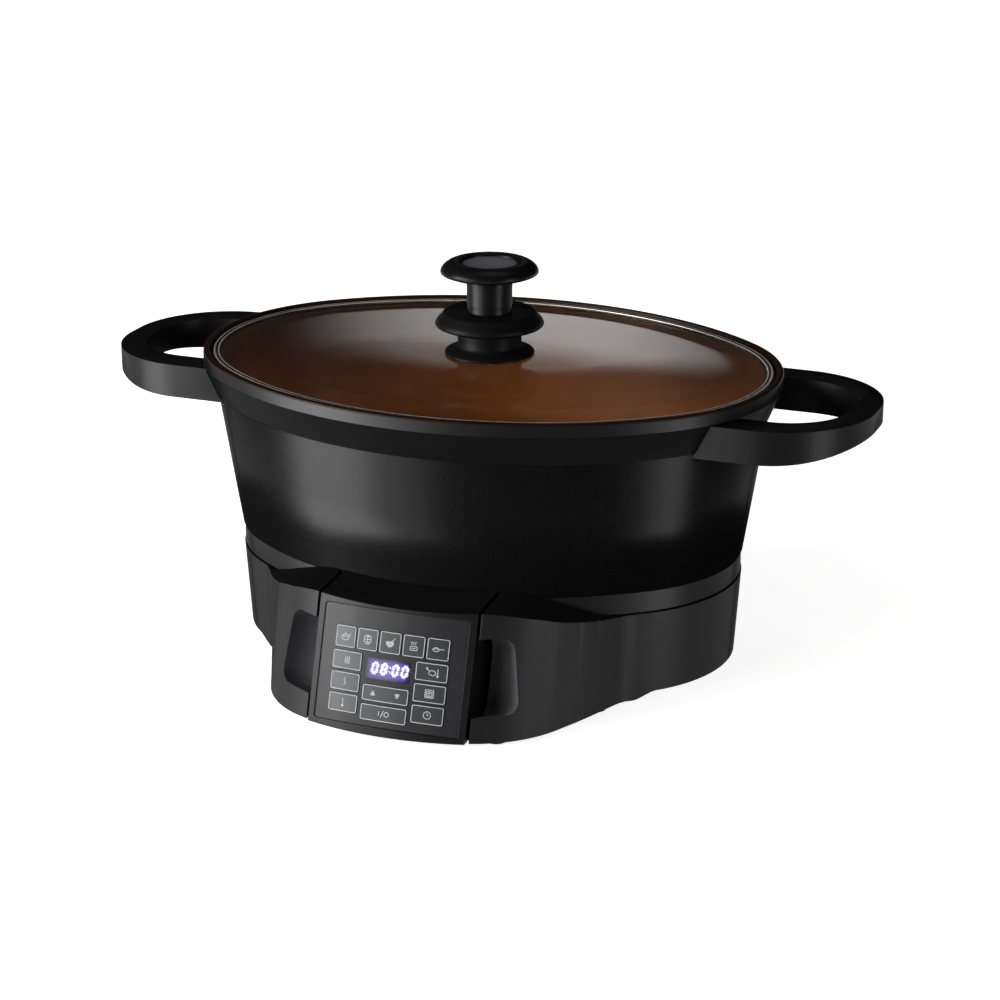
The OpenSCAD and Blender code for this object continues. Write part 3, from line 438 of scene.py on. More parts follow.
def clear_glass():
    """Tempered soda-lime glass: clear, a trace of green, sharp reflections; lamps reach what lies under it."""
    m, t, place = material("Tempered clear glass")
    wave = add(t, "TexNoise", {"Vector": place, "Scale": 1 / (60 * MM), "Detail": 1.0})
    bump = add(t, "Bump", {"Height": wave, "Strength": 0.06, "Distance": 0.4 * MM})
    shader = add(t, "BsdfPrincipled", {
        "Base Color": linear("#f1f5f3"), "Roughness": 0.0, "IOR": 1.5, "Transmission Weight": 1.0, "Normal": bump})
    through = add(t, "BsdfTransparent", {"Color": linear("#eef2f0")})
    path = add(t, "LightPath")
    mix = add(t, "MixShader", {0: path.outputs["Is Shadow Ray"], 1: shader, 2: through})
    shown(t, mix)
    return m


# Pieces

class COOKER_OT_pot(bpy.types.Operator):
    """Builds the oval pot with its lip, band, tapered wall and skirt."""

    bl_idname = "cooker.pot"
    bl_label = "Pot"

    def execute(self, context):
        sizes, colours = settings()
        foot, rim = POT_LOW.z / MM, POT_HIGH.z / MM
        floor_top, seat, band_top = foot + 6.8, rim - 6.2, rim - 7.8
        band = band_top - 18
        lip = sizes.lip_width / MM
        # Points of inset from the rim's outside and of height: inside from the floor up, then outside down to the foot
        flat, corner = 34.6, 10
        profile = [(70, floor_top), (40, floor_top), (flat, floor_top)]
        profile += [(flat - corner * sin(radians(a)), floor_top + corner - corner * cos(radians(a)))
                    for a in (15, 30, 45, 60, 75)]
        profile += at(0, floor_top, (24.6, 11), (18.1, 50)) + [(12.2, band - 3), (11.6, seat - 0.3), (11.3, seat)]
        profile += at(lip, seat, (0.3, 0), (0, 0.3)) + at(lip, rim, (0, -1.2), (-0.35, -0.35), (-1.2, 0))
        profile += at(0, rim, (1.6, 0), (0.5, -0.4), (0.05, -1.3), (0, -2.4)) + at(0, band_top, (0, 0.5), (0.12, 0))
        profile += at(0, band, (7.25, 0.5), (7.5, 0.05), (8.1, -0.4), (8.4, -1.2), (12.7, -29), (17, -57))
        profile += at(0, foot, (21.3, 13.6), (21.6, 12.9), (22.1, 12.4), (22.3, 11.6), (22.3, 0.6), (22.6, 0),
                      (25.1, 0), (25.5, 0.5), (25.5, 2.8), (40, 2.8), (70, 2.8))
        pot = oval("pot", profile, sizes.end_radius, sizes.oval_steps)
        capped(pot, (floor_top, foot + 2.8))
        closed(pot, 40)
        black = toned(colours.coat)
        # Satin spray coat on cast metal: near black, with a fine texture that draws the lamps out into upright bands
        coat = moulded("Aluminium, satin black coat", black, 0.27, grain=0.7, depth=0.003, edge=0.3, shine=0.14,
                       lift=(0.29, 0.8))
        # The same coat on the band that slopes in under the rim: out of the light, so it looks dull
        sloping = moulded("Aluminium, satin black band", black, 0.4, grain=0.7, depth=0.006, edge=0.3, shine=0.03)
        # The same coat on the upright strips at the rim and the foot: a paler line above and below
        skirt = moulded("Aluminium, satin black skirt and strip", black, 0.36, grain=0.7, depth=0.003, edge=0.3,
                        shine=0.3, lift=(0.3, 0.3))
        # Copper flakes in a non-stick coat, full tone low in the pot, darkened to dark brown under the rim by painted
        # shade
        lining = flaked("Aluminium, copper-brown non-stick", toned(colours.lining, 0.7), toned(colours.lining, 1.25),
                        0.4, rim=0.28)
        # The lip has the lining's coat darkened almost to black as painted shade, so that the steel rim stands out
        # from it
        lip_coat = flaked("Aluminium, lip coat in painted shade", toned(colours.lining, 0.025), toned(colours.lining, 0.05),
                          0.45, metal=0.0, shine=0.15)
        # A thin coat with no gloss
        under = moulded("Aluminium, matt black underside", black, 0.6, shine=0.1)
        painted(pot, coat, lining, lip_coat, under, sloping, skirt)
        on_lining, on_lip, on_under, on_band, on_skirt = range(1, 6)
        for f in pot.data.polygons:
            c = f.center
            inwards = c.x * f.normal.x + c.y * f.normal.y < 0
            if c.z > (seat + 0.1) * MM and (inwards or f.normal.z > 0.3):
                f.material_index = on_lip
            elif c.z > (floor_top - 0.1) * MM and (inwards or f.normal.z > 0.5):
                f.material_index = on_lining
            elif f.normal.z < -0.7:
                f.material_index = on_under
            elif band * MM < c.z < (band_top + 0.2) * MM:
                f.material_index = on_band
            elif c.z < (foot + 12.5) * MM or c.z > band_top * MM:
                f.material_index = on_skirt
        moved(pot, (0, AXIS_Y, 0))
        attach(pot, "pot")
        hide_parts("pot_shell")
        return {"FINISHED"}


class COOKER_OT_lid(bpy.types.Operator):
    """Builds the domed glass and the steel rim round it."""

    bl_idname = "cooker.lid"
    bl_label = "Lid"

    def execute(self, context):
        sizes = context.scene.cooker_sizes
        z, top, half = extent_of("lid_glass")
        thick = 3.2
        edge = z + thick
        rise = top - edge
        inset = RIM_A / MM - half
        # The dome: inset from the pot's rim, and share of the rise
        dome = [(i, rise * share) for i, share in (
            (10, 0), (16, 0.18), (22, 0.36), (28, 0.53), (31, 0.6), (34, 0.65), (40, 0.7), (50, 0.77), (60, 0.83),
            (75, 0.915), (90, 0.97), (107, 1))]
        profile = [(i, edge + h) for i, h in reversed(dome)]
        profile += [(inset + 0.5, edge), (inset + 0.1, edge - 0.3), (inset, edge - 0.8), (inset, z + 0.8),
                    (inset + 0.1, z + 0.3), (inset + 0.5, z)]
        profile += [(i, z + h) for i, h in dome]
        glass = oval("lid_pane", profile, sizes.end_radius, sizes.oval_steps)
        capped(glass, (top, top - thick))
        closed(glass, 40)
        painted(glass, clear_glass())
        moved(glass, (0, AXIS_Y, 0))
        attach(glass, "lid")
        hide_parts("lid_glass")

        z, top, half = extent_of("lid_rim")
        out, width, sheet = RIM_A / MM - half, 3.8, 0.6
        inner, flat = out + width, top - 0.12
        profile = at(out, z, (0.9, 0), (0.25, 0.25), (0, 0.9))
        profile += at(out, top, (0, -1), (0.1, -0.5), (0.35, -0.15), (0.7, 0), (1.0, -0.05)) + [(out + 1.2, flat)]
        profile += [(inner - 0.9, flat)] + at(inner, top, (-0.7, -0.05), (-0.45, 0), (-0.15, -0.12), (0, -0.4))
        profile += [(inner, top - sheet)] + at(out, top - sheet, (0.7, 0), (sheet, -0.2))
        profile += at(out, z + sheet, (sheet, 0.2), (0.7, 0)) + at(inner, z, (0, sheet), (0, 0.2), (-0.3, 0))
        profile += profile[:1]
        rim = oval("lid_band", profile, sizes.end_radius, sizes.oval_steps)
        closed(rim, 35)
        # A polished channel that mirrors the room, its steel darkened as a painted dark reflection of the coat below,
        # between two rolled edges painted pale as a highlight
        painted(rim, metal("Stainless steel, darkened as painted reflection", linear("#3d3a37"), 0.12, streak=3, relief=0, share=1.0),
                metal("Stainless steel, rolled edge painted pale as a highlight", linear("#efe6da"), 0.4, streak=3, relief=0, share=0.5))
        for f in rim.data.polygons:
            if f.center.z > (flat - 0.3) * MM and f.normal.z < 0.995:
                f.material_index = 1
        moved(rim, (0, AXIS_Y, 0))
        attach(rim, "lid")
        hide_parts("lid_rim")
        return {"FINISHED"}


class COOKER_OT_knob(bpy.types.Operator):
    """Turns the foot, collar, neck, grip and cap of the knob."""

    bl_idname = "cooker.knob"
    bl_label = "Knob"

    def execute(self, context):
        sizes, colours = settings()
        black = toned(colours.handle)
        # Resin from a smooth mould: black, with a soft gloss
        satin = moulded("Phenolic resin, satin black", black, 0.32, grain=0.5, depth=0.006, edge=0.4, shine=0.16,
                        lift=(0.25, 0.25))
        grip = moulded("Phenolic resin, satin black grip", black, 0.3, grain=0.5, depth=0.006, edge=0.4, shine=0.15)
        # The foot and the collar come from a blasted mould and hardly shine
        dull = moulded("Phenolic resin, dull black", black, 0.4, grain=0.5, depth=0.006, edge=0.4, shine=0.1)
        # The cap is the black resin painted grey: painted light from above on its matt face
        dished = moulded("Phenolic resin, black with painted light on the cap", toned(black, 24), 0.42, grain=0.6, depth=0.003, edge=0.4,
                         shine=0.3)
        # Profiles of radius and height, in millimetres, round the bore for the screw
        bore, waist = 3.2, 19.2
        shapes = {}
        low, high, r = extent_of("knob_foot")
        shapes["knob_foot"] = dull, (
            [(bore, low)] + at(r, low, (-0.5, 0), (0, 0.5), (0, 1.0), (-0.6, 1.8), (-3, 2.8), (-6, 4))
            + at(waist, low, (0.5, 5.1), (0, 6.4)) + [(waist, high), (bore, high)])
        low, high, r = extent_of("knob_collar")
        shapes["knob_collar"] = dull, (
            [(bore, low)] + at(r, low, (-13, 0), (-8, 0.6), (-3.6, 1.7), (-0.9, 2.8), (-0.1, 3.6), (0, 4.2),
                               (-0.4, 5.4), (-1.5, 7), (-3.2, 8.7))
            + at(r, high, (-4.6, -0.9), (-5.2, -0.25), (-6, 0)) + [(bore, high)])
        low, high, r = extent_of("knob_neck")
        shapes["knob_neck"] = satin, (
            [(bore, low)] + at(r - 1.1, low, (-0.3, 0), (0, 0.3), (0, 3), (-0.2, 3.2), (-0.5, 3.3), (-0.5, 3.9),
                               (-0.1, 4.1), (0.2, 4.4))
            + at(r, high, (-0.8, -5), (0, 0)) + [(bore, high)])
        low, high, r = extent_of("knob_grip")
        dish = extent_of("knob_cap")[2]
        shapes["knob_grip"] = grip, (
            [(bore, low)] + at(r, low, (-15, 0), (-12.5, 0.15), (-7.5, 0.9), (-3.5, 1.8), (-1.1, 2.7), (-0.2, 3.3),
                               (0, 3.9), (-0.2, 5), (-0.9, 6.4), (-2.2, 7.8), (-4.1, 9.1))
            + at(r, high, (-5.9, -0.4), (-7.5, -0.1), (-8.8, 0))
            + at(dish, high, (1.4, -0.2), (0.5, -0.7), (0.1, -1.4), (0.1, -3.6)) + [(bore, high - 3.6)])
        low, high, dish = extent_of("knob_cap")
        shapes["knob_cap"] = dished, (
            [(0, low)] + at(dish, low, (-0.2, 0), (0, 0.2)) + at(dish, high, (0, -0.4), (-0.4, -0.1), (-1.2, 0))
            + [(dish * 0.6, high - 0.35), (dish * 0.3, high - 0.5), (0, high - 0.55)])
        for node, (look, profile) in shapes.items():
            if profile[0][0] > 0:
                profile = profile + profile[:1]
            piece = turned(node + "_turned", profile, sizes.turned_steps, (0, AXIS_Y))
            closed(piece, 38)
            painted(piece, look)
            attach(piece, "lid")
            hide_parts(node)
        return {"FINISHED"}


# A handle's underside, in millimetres: its depth at the tip, what the arms add to it, over which length, and how
# sharply; and how far its root goes into the pot's wall, which slopes away below
TIP_DEPTH, ARM_DEPTH, CURVE_LENGTH, CURVE_POWER, ROOT_SHIFT = 11.8, 8.4, 60, 2.6, 0.8


def hollowed(piece):
    """Cuts a handle across its length and lifts its underside in a soft curve from the arms to the tip."""
    low, high = Vector(piece.bound_box[0]), Vector(piece.bound_box[6])
    root, tip = sorted((abs(low.x), abs(high.x)))
    side = 1 if high.x > 0 else -1
    for inwards in range(2, 58, 4):
        edit(piece)
        bpy.ops.mesh.bisect(plane_co=(side * (tip - inwards * MM), 0, 0), plane_no=(1, 0, 0))
    deselect()
    tip_foot = min(v.co.z for v in piece.data.vertices if abs(v.co.x) > tip - 0.3 * MM)
    for v in piece.data.vertices:
        out = abs(v.co.x)
        flat = low.z + (tip_foot - low.z) * (out - root) / (tip - root)
        if abs(v.co.z - flat) < 0.15 * MM:
            share = min(1, max(0, (tip - out) / (CURVE_LENGTH * MM)))
            v.co.z = high.z - (TIP_DEPTH + ARM_DEPTH * (1 - (1 - share) ** CURVE_POWER)) * MM
            if out < RIM_A:
                v.co.x -= side * ROOT_SHIFT * MM
    piece.data.update()


class COOKER_OT_handles(bpy.types.Operator):
    """Lifts the underside of the two loop handles and rounds their edges."""

    bl_idname = "cooker.handles"
    bl_label = "Handles"

    def execute(self, context):
        sizes, colours = settings()
        black = toned(colours.handle)
        # Nylon from a grained mould: an even matt black, with sides that pick up a soft gleam
        looks = [moulded("Nylon, matt black moulded", black, 0.44, edge=0.6),
                 moulded("Nylon, matt black sides", black, 0.36, edge=0.6, shine=0.22, lift=(0.25, 0.25))]
        for node in ("handle_left", "handle_right"):
            piece = copied(node, node + "_loop")
            hollowed(piece)
            modifier(piece, "BEVEL", width=sizes.handle_round, segments=3, limit_method="ANGLE",
                     angle_limit=radians(50), use_clamp_overlap=True, miter_outer="MITER_ARC")
            shade(piece, 40)
            painted(piece, *looks)
            for f in piece.data.polygons:
                f.material_index = int(abs(f.normal.z) < 0.5)
            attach(piece, "pot")
            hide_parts(node)
        return {"FINISHED"}


# The right finger scoop of the base is round about a leaning axis: its way, its middle, its reach and its radius
SCOOP_AXIS = Vector((-0.1908, 0.2788, 0.9412))
SCOOP_MIDDLE = Vector((50.5 * MM, AXIS_Y - 152.3 * MM, 38.2 * MM))
SCOOP_REACH, SCOOP_RADIUS = 22.3 * MM, 24.4 * MM


def in_scoop(point):
    """Whether a point of the base lies on a finger scoop. The left one mirrors the right one."""
    off = Vector((abs(point.x), point.y, point.z)) - SCOOP_MIDDLE
    along = off.dot(SCOOP_AXIS)
    return abs(along) < SCOOP_REACH and (off - along * SCOOP_AXIS).length < SCOOP_RADIUS


class COOKER_OT_base(bpy.types.Operator):
    """Smooths the base shell, and gives it, its cover, its gland and its feet their finishes."""

    bl_idname = "cooker.base"
    bl_label = "Base"

    def execute(self, context):
        sizes, colours = settings()
        plastic = toned(colours.plastic)
        edge = sizes.edge_round / MM
        # ABS from a spark-eroded mould: a satin black whose fine grain spreads the lamps over the walls
        shell = moulded("ABS, satin black moulded", plastic, 0.42, grain=0.6, depth=0.014, edge=edge, shine=0.12)
        walls = moulded("ABS, satin black walls", plastic, 0.42, grain=0.6, depth=0.014, edge=edge, shine=0.28,
                        lift=(0.29, 0.29))
        # The scoops are the black plastic painted grey: painted light in pockets that the lamps hardly reach
        scoops = moulded("ABS, black painted grey as light in the scoops", toned(plastic, 16), 0.5, grain=0.6, shine=0.3)
        piece = copied("base_shell", "base_body")
        shade(piece, 30)
        modifier(piece, "WEIGHTED_NORMAL", mode="CORNER_ANGLE", keep_sharp=True)
        painted(piece, shell, scoops, walls)
        on_scoops, on_walls = 1, 2
        for f in piece.data.polygons:
            if all(in_scoop(piece.data.vertices[i].co) for i in f.vertices):
                f.material_index = on_scoops
            elif abs(f.normal.z) < 0.5:
                f.material_index = on_walls
        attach(piece, body_of("base_shell"))
        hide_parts("base_shell")
        painted(NODES["unit_housing"], shell)
        # Below: a plainer black for the cover, dull rubber with a coarse skin for the feet, and nylon for the gland
        painted(NODES["bottom_cover"], moulded("Polypropylene, black moulded", toned(plastic, 0.9), 0.55, grain=0.8))
        painted(NODES["rubber_feet"], moulded("Rubber, black", linear("#141414"), 0.75, grain=0.4, depth=0.03))
        painted(NODES["cord_gland"], moulded("Nylon, black", linear("#161616"), 0.5))
        return {"FINISHED"}


# The panel's own frame, across, up the face and out of it: its lean, the radius of its face, and its foot
PANEL_LEAN = radians(17.6)
PANEL_RADIUS = 180 * MM
PANEL_FOOT = Vector((0, AXIS_Y - 171.4 * MM, 4.3 * MM))


def on_panel(across, up, out):
    """A point of the panel's face, in the frame, from its place on the face and its height over it."""
    depth = PANEL_RADIUS - sqrt((PANEL_RADIUS + out) ** 2 - across ** 2)
    y = depth * cos(PANEL_LEAN) + up * sin(PANEL_LEAN)
    z = -depth * sin(PANEL_LEAN) + up * cos(PANEL_LEAN)
    return PANEL_FOOT + Vector((across, y, z))


def laid_on_panel(obj, out):
    """Lays a flat piece, drawn as across and up, on the panel's convex face."""
    for v in obj.data.vertices:
        v.co = on_panel(v.co.x, v.co.y, v.co.z + out)
    obj.data.update()


def dense(points, step=1.2):
    """Points along a line, close enough together to follow a curved face."""
    found = [points[0]]
    for (x0, y0), (x1, y1) in zip(points, points[1:]):
        n = max(1, round(hypot(x1 - x0, y1 - y0) / step))
        found += [(x0 + (x1 - x0) * i / n, y0 + (y1 - y0) * i / n) for i in range(1, n + 1)]
    return found


def strokes(name, lines, width, height):
    """Lines drawn with a round pen and pressed flat, as one mesh."""
    drawn = [line(name + "_line", [(x * MM, y * MM, 0) for x, y in dense(points)]) for points in lines]
    picked(*drawn)
    if len(drawn) > 1:
        bpy.ops.object.join()
    obj = bpy.context.view_layer.objects.active
    edit(obj)
    bpy.ops.mesh.remove_doubles(threshold=1e-5)
    picked(obj)
    bpy.ops.object.convert(target="CURVE")
    obj = bpy.context.object
    obj.data.bevel_depth = width / 2
    obj.data.bevel_resolution = 1
    obj.data.use_fill_caps = True
    bpy.ops.object.convert(target="MESH")
    obj = bpy.context.object
    obj.name = obj.data.name = name
    edit(obj)
    bpy.ops.transform.resize(value=(1, 1, 2 * height / width))
    bpy.ops.mesh.remove_doubles(threshold=1e-6)
    bpy.ops.mesh.normals_make_consistent(inside=False)
    deselect()
    return obj


def rounded(x, y, w, h, r):
    """A rounded rectangle as a closed line."""
    points = []
    for cx, cy, start in ((x + w / 2 - r, y + h / 2 - r, 0), (x - w / 2 + r, y + h / 2 - r, 90),
                          (x - w / 2 + r, y - h / 2 + r, 180), (x + w / 2 - r, y - h / 2 + r, 270)):
        points += arc(cx, cy, r, r, start, start + 90, 4)
    return points + points[:1]


def shifted(points, x, y):
    """The same line at another place."""
    return [(px + x, py + y) for px, py in points]


# Lines that several signs share, and the keys: middle across, middle up, width, height, and the lines of the sign,
# in millimetres from the key's middle
WAVE = [(0.0, -2.1), (0.35, -1.4), (0.1, -0.7), (-0.15, 0.0), (0.1, 0.7), (0.35, 1.4), (0.0, 2.1)]
CIRCLE = arc(0, 0, 1, 1, 0, 360, 20)
THERMOMETER = [[(0, 2.3), (0, -1.2)], [(0, -1.2), (0, -1.9)], arc(0, -1.7, 0.5, 0.5, 0, 360, 10)]
KEYS = {
    "key_top_1": (-28.6, 52.4, 13, 12.4, [
        arc(-0.2, -0.2, 2.3, 2.0, 175, 365, 12), [(-2.5, 0.0), (2.1, 0.0)], arc(-0.2, 0.0, 1.9, 1.3, 20, 160, 8),
        [(2.1, 0.2), (3.0, 1.6)], [(-0.2, 1.4), (-0.2, 2.1)]]),
    "key_top_2": (-14.3, 52.4, 13, 12.4, [
        rounded(0, 0.2, 4.4, 3.2, 0.4), [(-2.2, 0.2), (2.2, 0.2)], [(0, -1.4), (0, 1.8)],
        [(-1.4, -2.4), (1.4, -2.4)], [(-1.2, 2.5), (1.2, 2.5)]]),
    "key_top_3": (0, 52.4, 13, 12.4, [
        arc(-0.2, 0.5, 2.4, 2.6, 180, 360, 14), [(-2.6, 0.5), (2.2, 0.5)], arc(-0.2, 0.3, 1.7, 1.8, 180, 360, 10),
        [(-1.8, 0.1), (1.4, 0.1)], [(-1.6, -0.5), (1.2, -0.5)], [(-1.2, -1.1), (0.8, -1.1)], [(0.6, 0.7), (2.9, 2.9)],
        [(-1.2, -2.2), (0.8, -2.2)]]),
    "key_top_4": (14.3, 52.4, 13, 12.4, [
        rounded(0, -1.2, 4.2, 2.2, 0.5), [(-1.2, 0.8), (-1.6, 1.7), (-1.1, 2.6)], [(0, 0.8), (-0.4, 1.7), (0.1, 2.6)],
        [(1.2, 0.8), (0.8, 1.7), (1.3, 2.6)], [(-1.2, -1.2), (1.2, -1.2)]]),
    "key_top_5": (28.6, 52.4, 13, 12.4, [
        arc(-1.2, 0.2, 2.0, 1.5, 180, 360, 10), [(-3.2, 0.2), (0.8, 0.2)], [(0.8, 0.1), (3.5, 0.3)],
        arc(-1.2, 0.2, 1.4, 0.8, 0, 180, 8)]),
    "key_left_1": (-26.2, 39, 18.8, 10.5, [shifted(WAVE, x, 0) for x in (-1.2, 0.0, 1.2)]),
    "key_left_2": (-26.2, 26.7, 18.8, 10.5, [[(0.5, 2.2), (-0.5, 0.8), (0.4, -0.2), (-0.2, -2.2)]]),
    "key_left_3": (-26.2, 14.4, 18.8, 10.5, THERMOMETER),
    "key_right_1": (26.2, 39, 18.8, 10.5, [
        arc(0.4, -0.4, 2.0, 1.5, -60, 200, 14), [(-1.5, -0.9), (-0.2, -1.6), (1.4, -1.7)], [(-1.3, 0.6), (-2.6, 1.8)],
        arc(-2.8, 2.0, 0.45, 0.45, 0, 360, 8)] + [shifted(s, 3.6, -0.2) for s in THERMOMETER]),
    "key_right_2": (26.2, 26.7, 18.8, 10.5, [
        rounded(0, 0, 4.8, 4.4, 0.3), rounded(0, -0.2, 3.2, 2.7, 0.3), arc(0, -0.2, 0.8, 0.7, 0, 300, 10)]),
    "key_right_3": (26.2, 14.4, 18.8, 10.5, [
        [(x * 2.1, y * 2.1) for x, y in CIRCLE], [(0, 1.2), (0, 0), (1.0, 0)]]),
    "key_up_down": (0, 22.6, 28.4, 9.2, [
        [(-8.9, -1.2), (-6.1, -1.2), (-7.5, 1.4), (-8.9, -1.2)],
        [(-8.3, -0.9), (-6.7, -0.9), (-7.5, 0.7), (-8.3, -0.9)],
        [(-7.9, -0.6), (-7.1, -0.6), (-7.5, 0.2)],
        [(6.1, 1.2), (8.9, 1.2), (7.5, -1.4), (6.1, 1.2)], [(6.7, 0.9), (8.3, 0.9), (7.5, -0.7), (6.7, 0.9)],
        [(7.1, 0.6), (7.9, 0.6), (7.5, -0.2)]]),
    "key_power": (0, 11.4, 28.4, 9.2, [
        [(-2.6, -1.3), (-2.6, 1.3)], [(-1.1, -1.9), (0.2, 1.9)], [(2.2 + x * 1.35, y * 1.35) for x, y in CIRCLE]]),
}


class COOKER_OT_unit(bpy.types.Operator):
    """Gives the control unit's fascia and overlay their finishes."""

    bl_idname = "cooker.unit"
    bl_label = "Control unit"

    def execute(self, context):
        sizes, colours = settings()
        # Finely grained ABS beside a smooth printed film, which is a shade greyer and has a thin clear gloss
        fascia = moulded("ABS, satin black fascia", toned(colours.plastic), 0.34, grain=0.6, depth=0.01,
                         edge=sizes.edge_round / MM)
        overlay = moulded("Polycarbonate overlay, gloss dark grey", toned(colours.overlay), 0.38, grain=0.8,
                          depth=0.003, edge=0.2, coat=0.06, shine=0.25)
        painted(NODES["unit_fascia"], fascia)
        painted(NODES["overlay_panel"], overlay)
        return {"FINISHED"}


class COOKER_OT_keys(bpy.types.Operator):
    """Colours the keys and prints their frames and signs."""

    bl_idname = "cooker.keys"
    bl_label = "Keys"

    def execute(self, context):
        sizes, colours = settings()
        # Smooth grey key tops under a thin clear gloss, and a pale ink that stands just proud of them
        face = moulded("Polycarbonate keys, satin grey", toned(colours.key), 0.34, grain=0.7, depth=0.004, edge=0.3,
                       coat=0.05, shine=0.48)
        ink = moulded("Screen print, pale grey", toned(colours.ink), 0.5, grain=0.3, depth=0.004, edge=0.05)
        inset, corner, lift_off = 0.7, 0.8, 0.01 * MM
        for node, (x, y, w, h, sign) in KEYS.items():
            painted(NODES[node], face)
            outline = rounded(0, 0, w - inset, h - inset, corner)
            piece = strokes(node + "_print", [outline] + sign, sizes.print_width, sizes.print_height)
            for v in piece.data.vertices:
                v.co.x += x * MM
                v.co.y += y * MM
            laid_on_panel(piece, lift_off)
            painted(piece, ink)
            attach(piece, body_of(node))
        return {"FINISHED"}


# The segments of a digit, from corner to corner in half widths and half heights, and those that a digit lights
SEGMENTS = {"a": ((-1, 2), (1, 2)), "b": ((1, 2), (1, 0)), "c": ((1, 0), (1, -2)), "d": ((-1, -2), (1, -2)),
            "e": ((-1, 0), (-1, -2)), "f": ((-1, 2), (-1, 0)), "g": ((-1, 0), (1, 0))}
LIT = {"0": "abcdef", "8": "abcdefg"}


class COOKER_OT_display(bpy.types.Operator):
    """Lights the display: the window's glow and four digits."""

    bl_idname = "cooker.display"
    bl_label = "Display"

    def execute(self, context):
        colours = context.scene.cooker_colours
        # In millimetres on the panel: the window's middle, the digits' place in it, and how they are drawn
        middle, right, raised = 36.6, 1.2, 0.4
        half_w, half_h, lean, gap, dot = 1.4, 1.38, 0.16, 0.25, 0.15
        lines = []
        for x, digit in zip((-9.2, -3.5, 3.5, 9.2), "0800"):
            for key in LIT[digit]:
                (x0, y0), (x1, y1) = SEGMENTS[key]
                a = Vector((x0 * half_w, y0 * half_h))
                b = Vector((x1 * half_w, y1 * half_h))
                short = (b - a).normalized() * gap
                a, b = a + short, b - short
                lines.append([(x + p.x + lean * p.y + right, middle + p.y + raised) for p in (a, b)])
        for y in (-0.8, 1.6):
            lines.append([(right + end + lean * y, middle + y + end) for end in (-dot, dot)])

        # Lit segments: white in the middle, with a violet haze round them where the light spreads in the window.
        # Name, width, thickness and place over the panel's face, then the finish, its colour, its light and its range
        for name, width, thick, out, finish, base, light, least, most in (
                ("display_halo", 2.3, 0.012, -0.488, "Light scattered round the digits", "#8f80e0",
                 linear("#b9acf2"), 0.45, 0.62),
                ("display_digits", 0.8, 0.03, -0.47, "Light-emitting digits", "#d8d0ff",
                 toned(colours.digit), 1.4, 1.9)):
            piece = strokes(name, lines, width * MM, thick * MM)
            laid_on_panel(piece, out * MM)
            m, t, place = material(finish)
            noise = add(t, "TexNoise", {"Vector": place, "Scale": 1 / (2 * MM)})
            level = add(t, "MapRange", {"Value": noise, "To Min": least, "To Max": most})
            shader = add(t, "BsdfPrincipled", {
                "Base Color": linear(base), "Roughness": 0.4, "Emission Color": light, "Emission Strength": level})
            shown(t, shader)
            painted(piece, m)
            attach(piece, "control_unit")

        # Smoked acrylic with a lamp behind its middle: a violet glow that fades to dark at the window's edges
        m, t, place = material("Acrylic window, violet glow")
        centre = on_panel(0, middle * MM, -0.5 * MM)
        local = add(t, "Mapping", {
            "Vector": place, "Location": centre, "Rotation": (-PANEL_LEAN, 0, 0)}, vector_type="TEXTURE")
        split = add(t, "SeparateXYZ", {"Vector": local})
        across = add(t, "Math", {0: split.outputs["X"]}, operation="ABSOLUTE")
        up = add(t, "Math", {0: split.outputs["Z"]}, operation="ABSOLUTE")
        # Across and up from its middle, the glow is dark at the first distance and full at the second
        fade_x, fade_y = (
            add(t, "MapRange", {"Value": off, "From Min": dark_at * MM, "From Max": full_at * MM}, **SMOOTH)
            for off, dark_at, full_at in ((across, 13.6, 9.5), (up, 6.3, 3.2)))
        both = add(t, "Math", {0: fade_x, 1: fade_y}, operation="MULTIPLY")
        glow = add(t, "MapRange", {"Value": both, "To Min": 0.06, "To Max": 0.9})
        shader = add(t, "BsdfPrincipled", {
            "Base Color": linear("#1a1726"), "Roughness": 0.15, "Emission Color": toned(colours.glow),
            "Emission Strength": glow})
        shown(t, shader)
        painted(NODES["display_window"], m)
        return {"FINISHED"}


